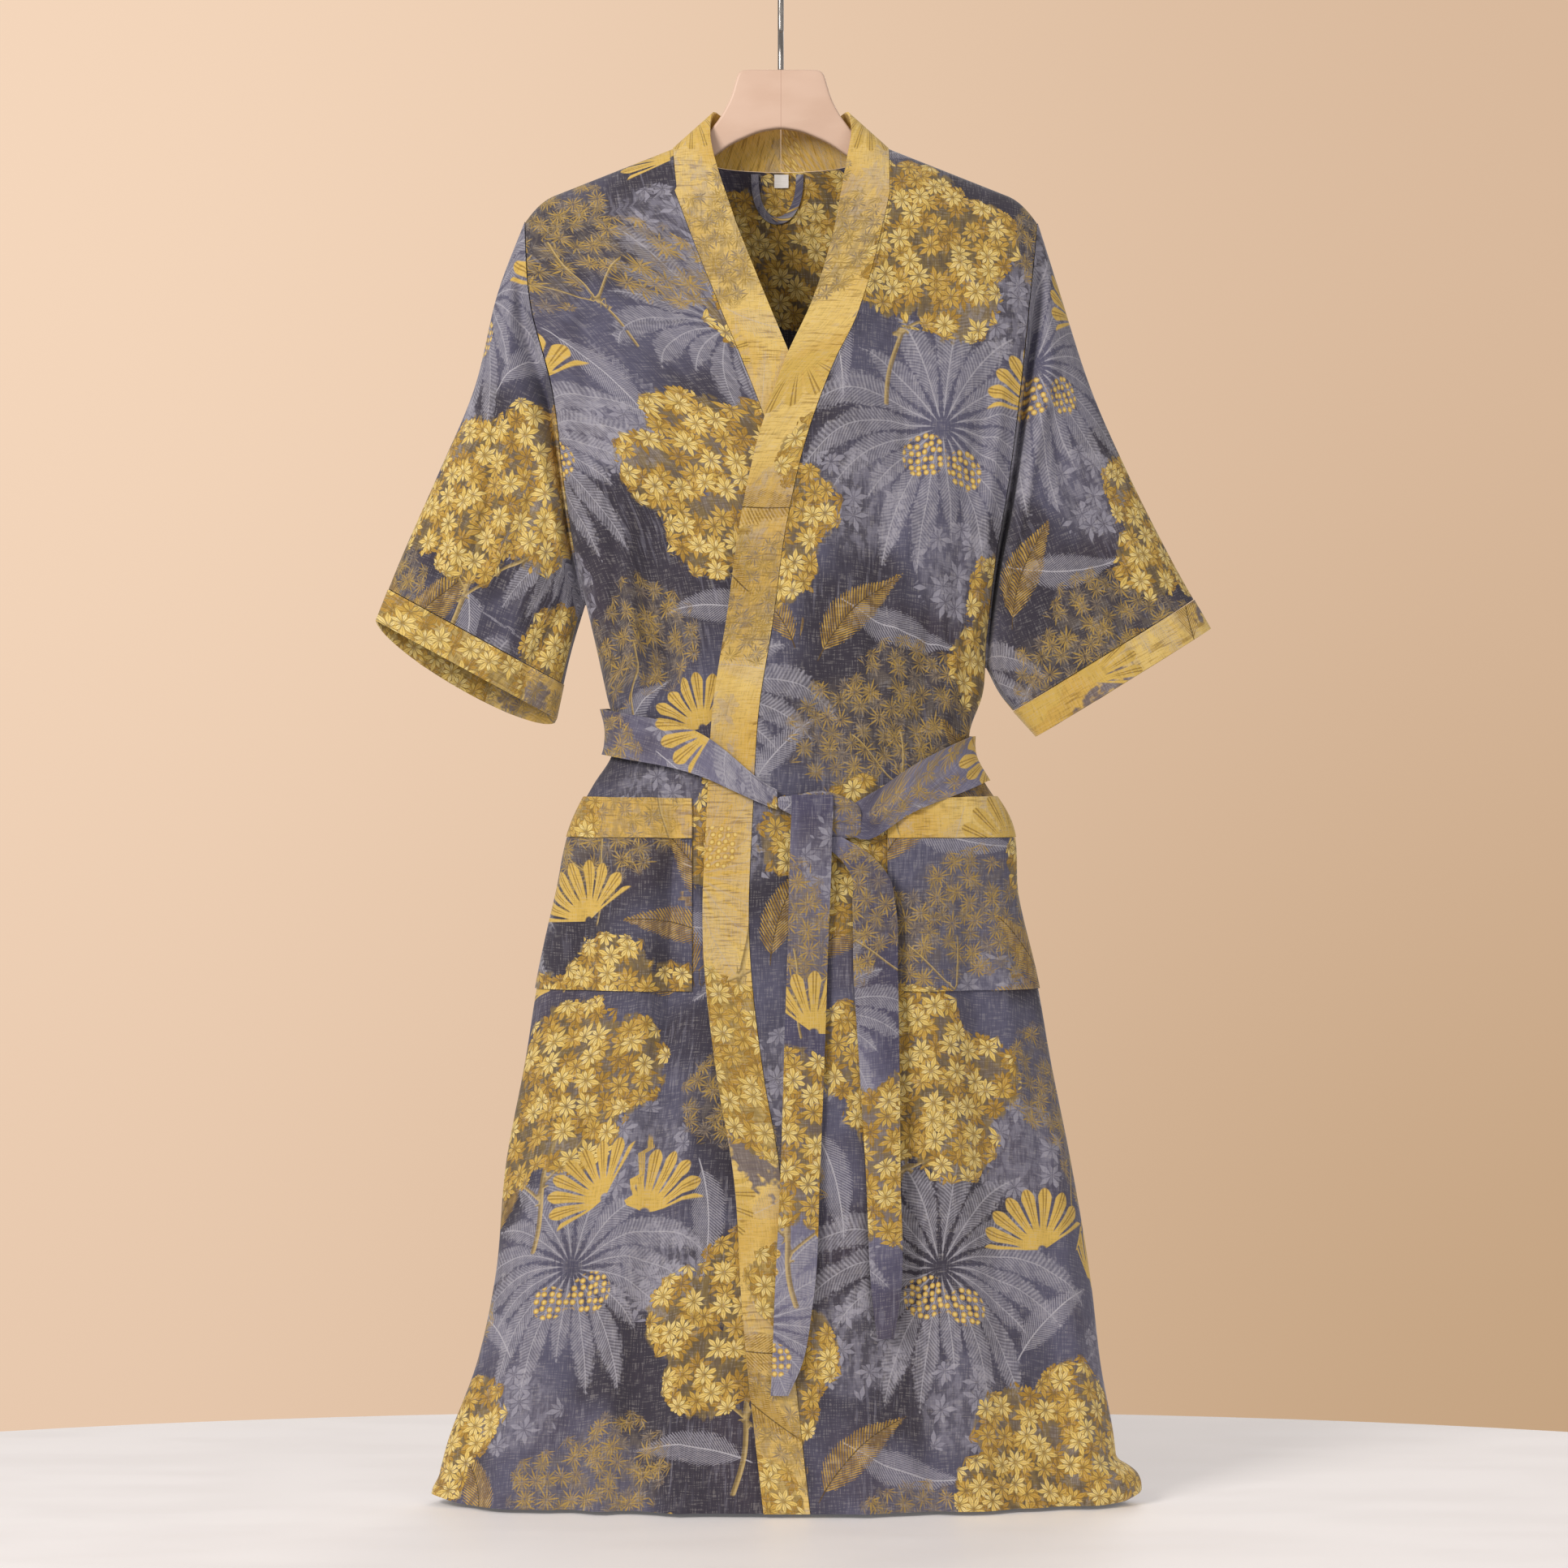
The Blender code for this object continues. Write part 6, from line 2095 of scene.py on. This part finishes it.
@dataclass(frozen=True)
class SolidFinish(Finish):
    """A hard or smooth finish: a colour that drifts a little, fine marks and a fine grain.

    Marks are soft noise stretched along one axis, as moulding, drawing, weaving or pressing leaves
    it; the line is a thin darker seam where two halves of a mould meet at x = 0.
    """

    colour: str
    drift: str
    mark_mm: tuple[float, float, float]
    mark_share: float = 0.3
    roughness: float = 0.8
    metallic: float = 0.0
    grain_mm: float = 0.6
    grain: float = 0.05
    line_mm: float = 0.0
    glow: float = 0.0

    def paint(self, tree: bpy.types.NodeTree) -> tuple[bpy.types.NodeSocket, dict[str, Value]]:
        """Mix the two tones by marks and grain, and draw the mould's line."""
        place = add_node(tree, "ShaderNodeTexCoord").outputs["Object"]
        sized = add_node(tree, "ShaderNodeMapping", inputs={
            "Vector": place, "Scale": tuple(1000.0 / size for size in self.mark_mm)})
        marks = Reading(tree, add_node(tree, "ShaderNodeTexNoise", inputs={
            "Vector": sized.outputs[0], "Scale": 1.0, "Detail": 3.0}).outputs["Fac"])
        grain = Reading(tree, add_node(tree, "ShaderNodeTexNoise", inputs={
            "Vector": place, "Scale": 1000.0 / self.grain_mm, "Detail": 1.0}).outputs["Fac"])
        share = marks.step(0.35, 0.70) * self.mark_share + (grain - 0.5) * self.grain
        paint = Painter(tree)
        paint.colour = paint.blend(share.math("MAXIMUM", 0.0), self.colour, self.drift)
        height = grain * 0.5 + marks
        if self.line_mm:
            split = add_node(tree, "ShaderNodeSeparateXYZ", inputs={0: place})
            line = Reading(tree, split.outputs[0]).math("ABSOLUTE").step(self.line_mm * MM, 0.0)
            paint.lay(line * 0.45, "b98f7a")
            height = height + line * 1.5
        return paint.colour, {"Strength": 0.25, "Distance": 0.0002, "Height": height}

    def constants(self) -> dict[str, Value]:
        """How rough and how metallic it is, and its faint glow if it has one."""
        values = {"Roughness": self.roughness, "Metallic": self.metallic}
        if self.glow:
            values |= {"Emission Color": linear("fbfaff"), "Emission Strength": self.glow}
        return values


FINISHES = {
    Slot.CLOTH: PrintedGauze("printed_gauze", Ground.SLATE),
    Slot.TRIM: PrintedGauze("band_gauze", Ground.GOLDEN),
    Slot.BELT: PrintedGauze("belt_gauze", Ground.PALE_SLATE),
    # Satin woven narrow: its floats run across and give a soft band of light.
    Slot.LABEL: SolidFinish("satin_label_tape", "f6f4f0", "dedbd6", (9.0, 9.0, 0.35), 0.5, 0.5),
    # ABS, injection moulded: an even satin skin with faint flow marks and the mould's line.
    Slot.HANGER: SolidFinish("moulded_abs", "e8c8b2", "dab79f", (60.0, 30.0, 25.0), 0.5, 0.42,
                             line_mm=0.7),
    # Steel wire drawn through a die: bright, with fine marks along its length.
    Slot.HOOK: SolidFinish("drawn_steel_wire", "a5a29e", "6f6c69", (0.5, 0.5, 14.0), 0.6, 0.3, 1.0),
}
# Laminate pressed on board: nearly even and matt, with a faint pebble grain.
TABLE_LAMINATE = SolidFinish("table_laminate", "fbf8f7", "eeeae8", (180.0, 60.0, 60.0), 0.5, 0.5,
                             grain_mm=1.4, glow=0.10)


@dataclass
class Workshop:
    """Finishes pieces, sets them on the frame and keeps their count."""

    made: list[str] = field(default_factory=list)

    def plain(self, piece: bpy.types.Object, nodes: list[str], slot: Slot) -> None:
        """Finish a piece that stands for CAD nodes and rides on the body."""
        piece.data.materials.append(FINISHES[slot].make())
        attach(piece, "root")
        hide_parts(*nodes)
        self.made.append(piece.name)
        LOG.info("%s: %d faces", piece.name, len(piece.data.polygons))

    def cloth(self, piece: bpy.types.Object, grid: ClothGrid, nodes: list[str], slot: Slot,
              held: str, rests_on: list[str]) -> None:
        """Finish a piece of cloth and work out its flat cut's size.

        Args:
            piece: The cloth wall.
            grid: Its grid, from which the cut's size is worked out.
            nodes: CAD nodes that it stands for.
            slot: Its material slot.
            held: How the cloth is held; not used.
            rests_on: What it hangs from or lies on; not used.
        """
        self.plain(piece, nodes, slot)
        width, length, area = grid.size()


@dataclass(frozen=True)
class Studio:
    """The pale floor, the warm surround, the lights and the camera."""

    camera_at: tuple[float, float, float] = (0.0027, -3.2, -0.681)
    frame_width: float = 1.314
    floor_z: float = -1.2835
    ambient: float = 0.50
    aim_z: float = -0.65
    table_half: tuple[float, float] = (1100.0, 470.0)
    table_sides: int = 96

    def camera(self) -> None:
        """A level camera straight before the robe."""
        lens = bpy.data.cameras.new("front_camera")
        lens.sensor_width = 36.0
        lens.lens = 36.0 * -self.camera_at[1] / self.frame_width
        lens.clip_start, lens.clip_end = 0.05, 50
        made = bpy.data.objects.new("front_camera", lens)
        made.location = self.camera_at
        made.rotation_euler = (math.pi / 2, 0, 0)
        bpy.context.scene.collection.objects.link(made)
        bpy.context.scene.camera = made

    def light(self, row: Lamp) -> None:
        """A square soft light that faces the robe's middle."""
        lamp = bpy.data.lights.new(row.name, "AREA")
        lamp.shape, lamp.size, lamp.energy = "SQUARE", row.size, row.power
        lamp.color = linear(row.colour)[:3]
        made = bpy.data.objects.new(row.name, lamp)
        made.location = row.place
        away = np.array(row.place) - np.array([0, 0, self.aim_z])
        made.rotation_euler = (math.atan2(math.hypot(away[0], away[1]), away[2]), 0,
                               math.atan2(away[0], -away[1]))
        bpy.context.scene.collection.objects.link(made)

    def floor(self) -> None:
        """A pale round table top under the hem."""
        turn = np.linspace(0, 2 * math.pi, self.table_sides, endpoint=False)
        wide, deep = self.table_half
        ring = np.stack([wide * np.cos(turn), deep * np.sin(turn),
                         np.full(turn.shape, self.floor_z / MM)], axis=1)
        piece = Maker.mesh("table_top", ring, [list(range(self.table_sides))])
        piece.data.materials.append(TABLE_LAMINATE.make())

    def surround(self) -> None:
        """A warm beige surround, lighter on the left and above, that lights the robe softly."""
        world = bpy.data.worlds.new("warm_surround")
        world.use_nodes = True
        tree = world.node_tree
        view = add_node(tree, "ShaderNodeTexCoord")
        split = add_node(tree, "ShaderNodeSeparateXYZ", inputs={0: view.outputs["Generated"]})
        across = Reading(tree, split.outputs[0]).step(-0.24, 0.24)
        down = Reading(tree, split.outputs[2]).step(0.16, -0.2)
        paint = Painter(tree)
        upper = paint.blend(across, "f5d7bc", "d8b89b")
        lower = paint.blend(across, "e8c9ae", "c3a280")
        seen = add_node(tree, "ShaderNodeLightPath").outputs["Is Camera Ray"]
        colour = paint.blend(Reading(tree, seen), "f3ece8", paint.blend(down, upper, lower))
        strength = Reading(tree, seen) * (1.0 - self.ambient) + self.ambient
        shade = tree.nodes["Background"]
        tree.links.new(colour, shade.inputs["Color"])
        tree.links.new(strength.socket, shade.inputs["Strength"])
        bpy.context.scene.world = world
        bpy.context.scene.view_settings.view_transform = "Standard"

    def build(self) -> None:
        """Set up everything but the robe."""
        self.camera()
        self.floor()
        self.surround()
        for row in LAMPS:
            self.light(row)


def main() -> None:
    """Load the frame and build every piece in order."""
    logging.basicConfig(level=logging.INFO, format="%(name)s %(message)s")
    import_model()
    Studio().build()
    form = RobeForm()
    shop = Workshop()
    Hanger(form).dress(shop)
    panels = BodyPanels(form)
    panels.build()
    panels.dress(shop)
    Neckband(form, panels).dress(shop)
    for side in Side:
        Sleeve(form, panels, side).dress(shop)
        Pocket(form, panels, side).dress(shop)
    Belt(form).dress(shop)
    NeckDetails(form).dress(shop)
    LOG.info("%d pieces", len(shop.made))


if __name__ == "__main__":
    main()
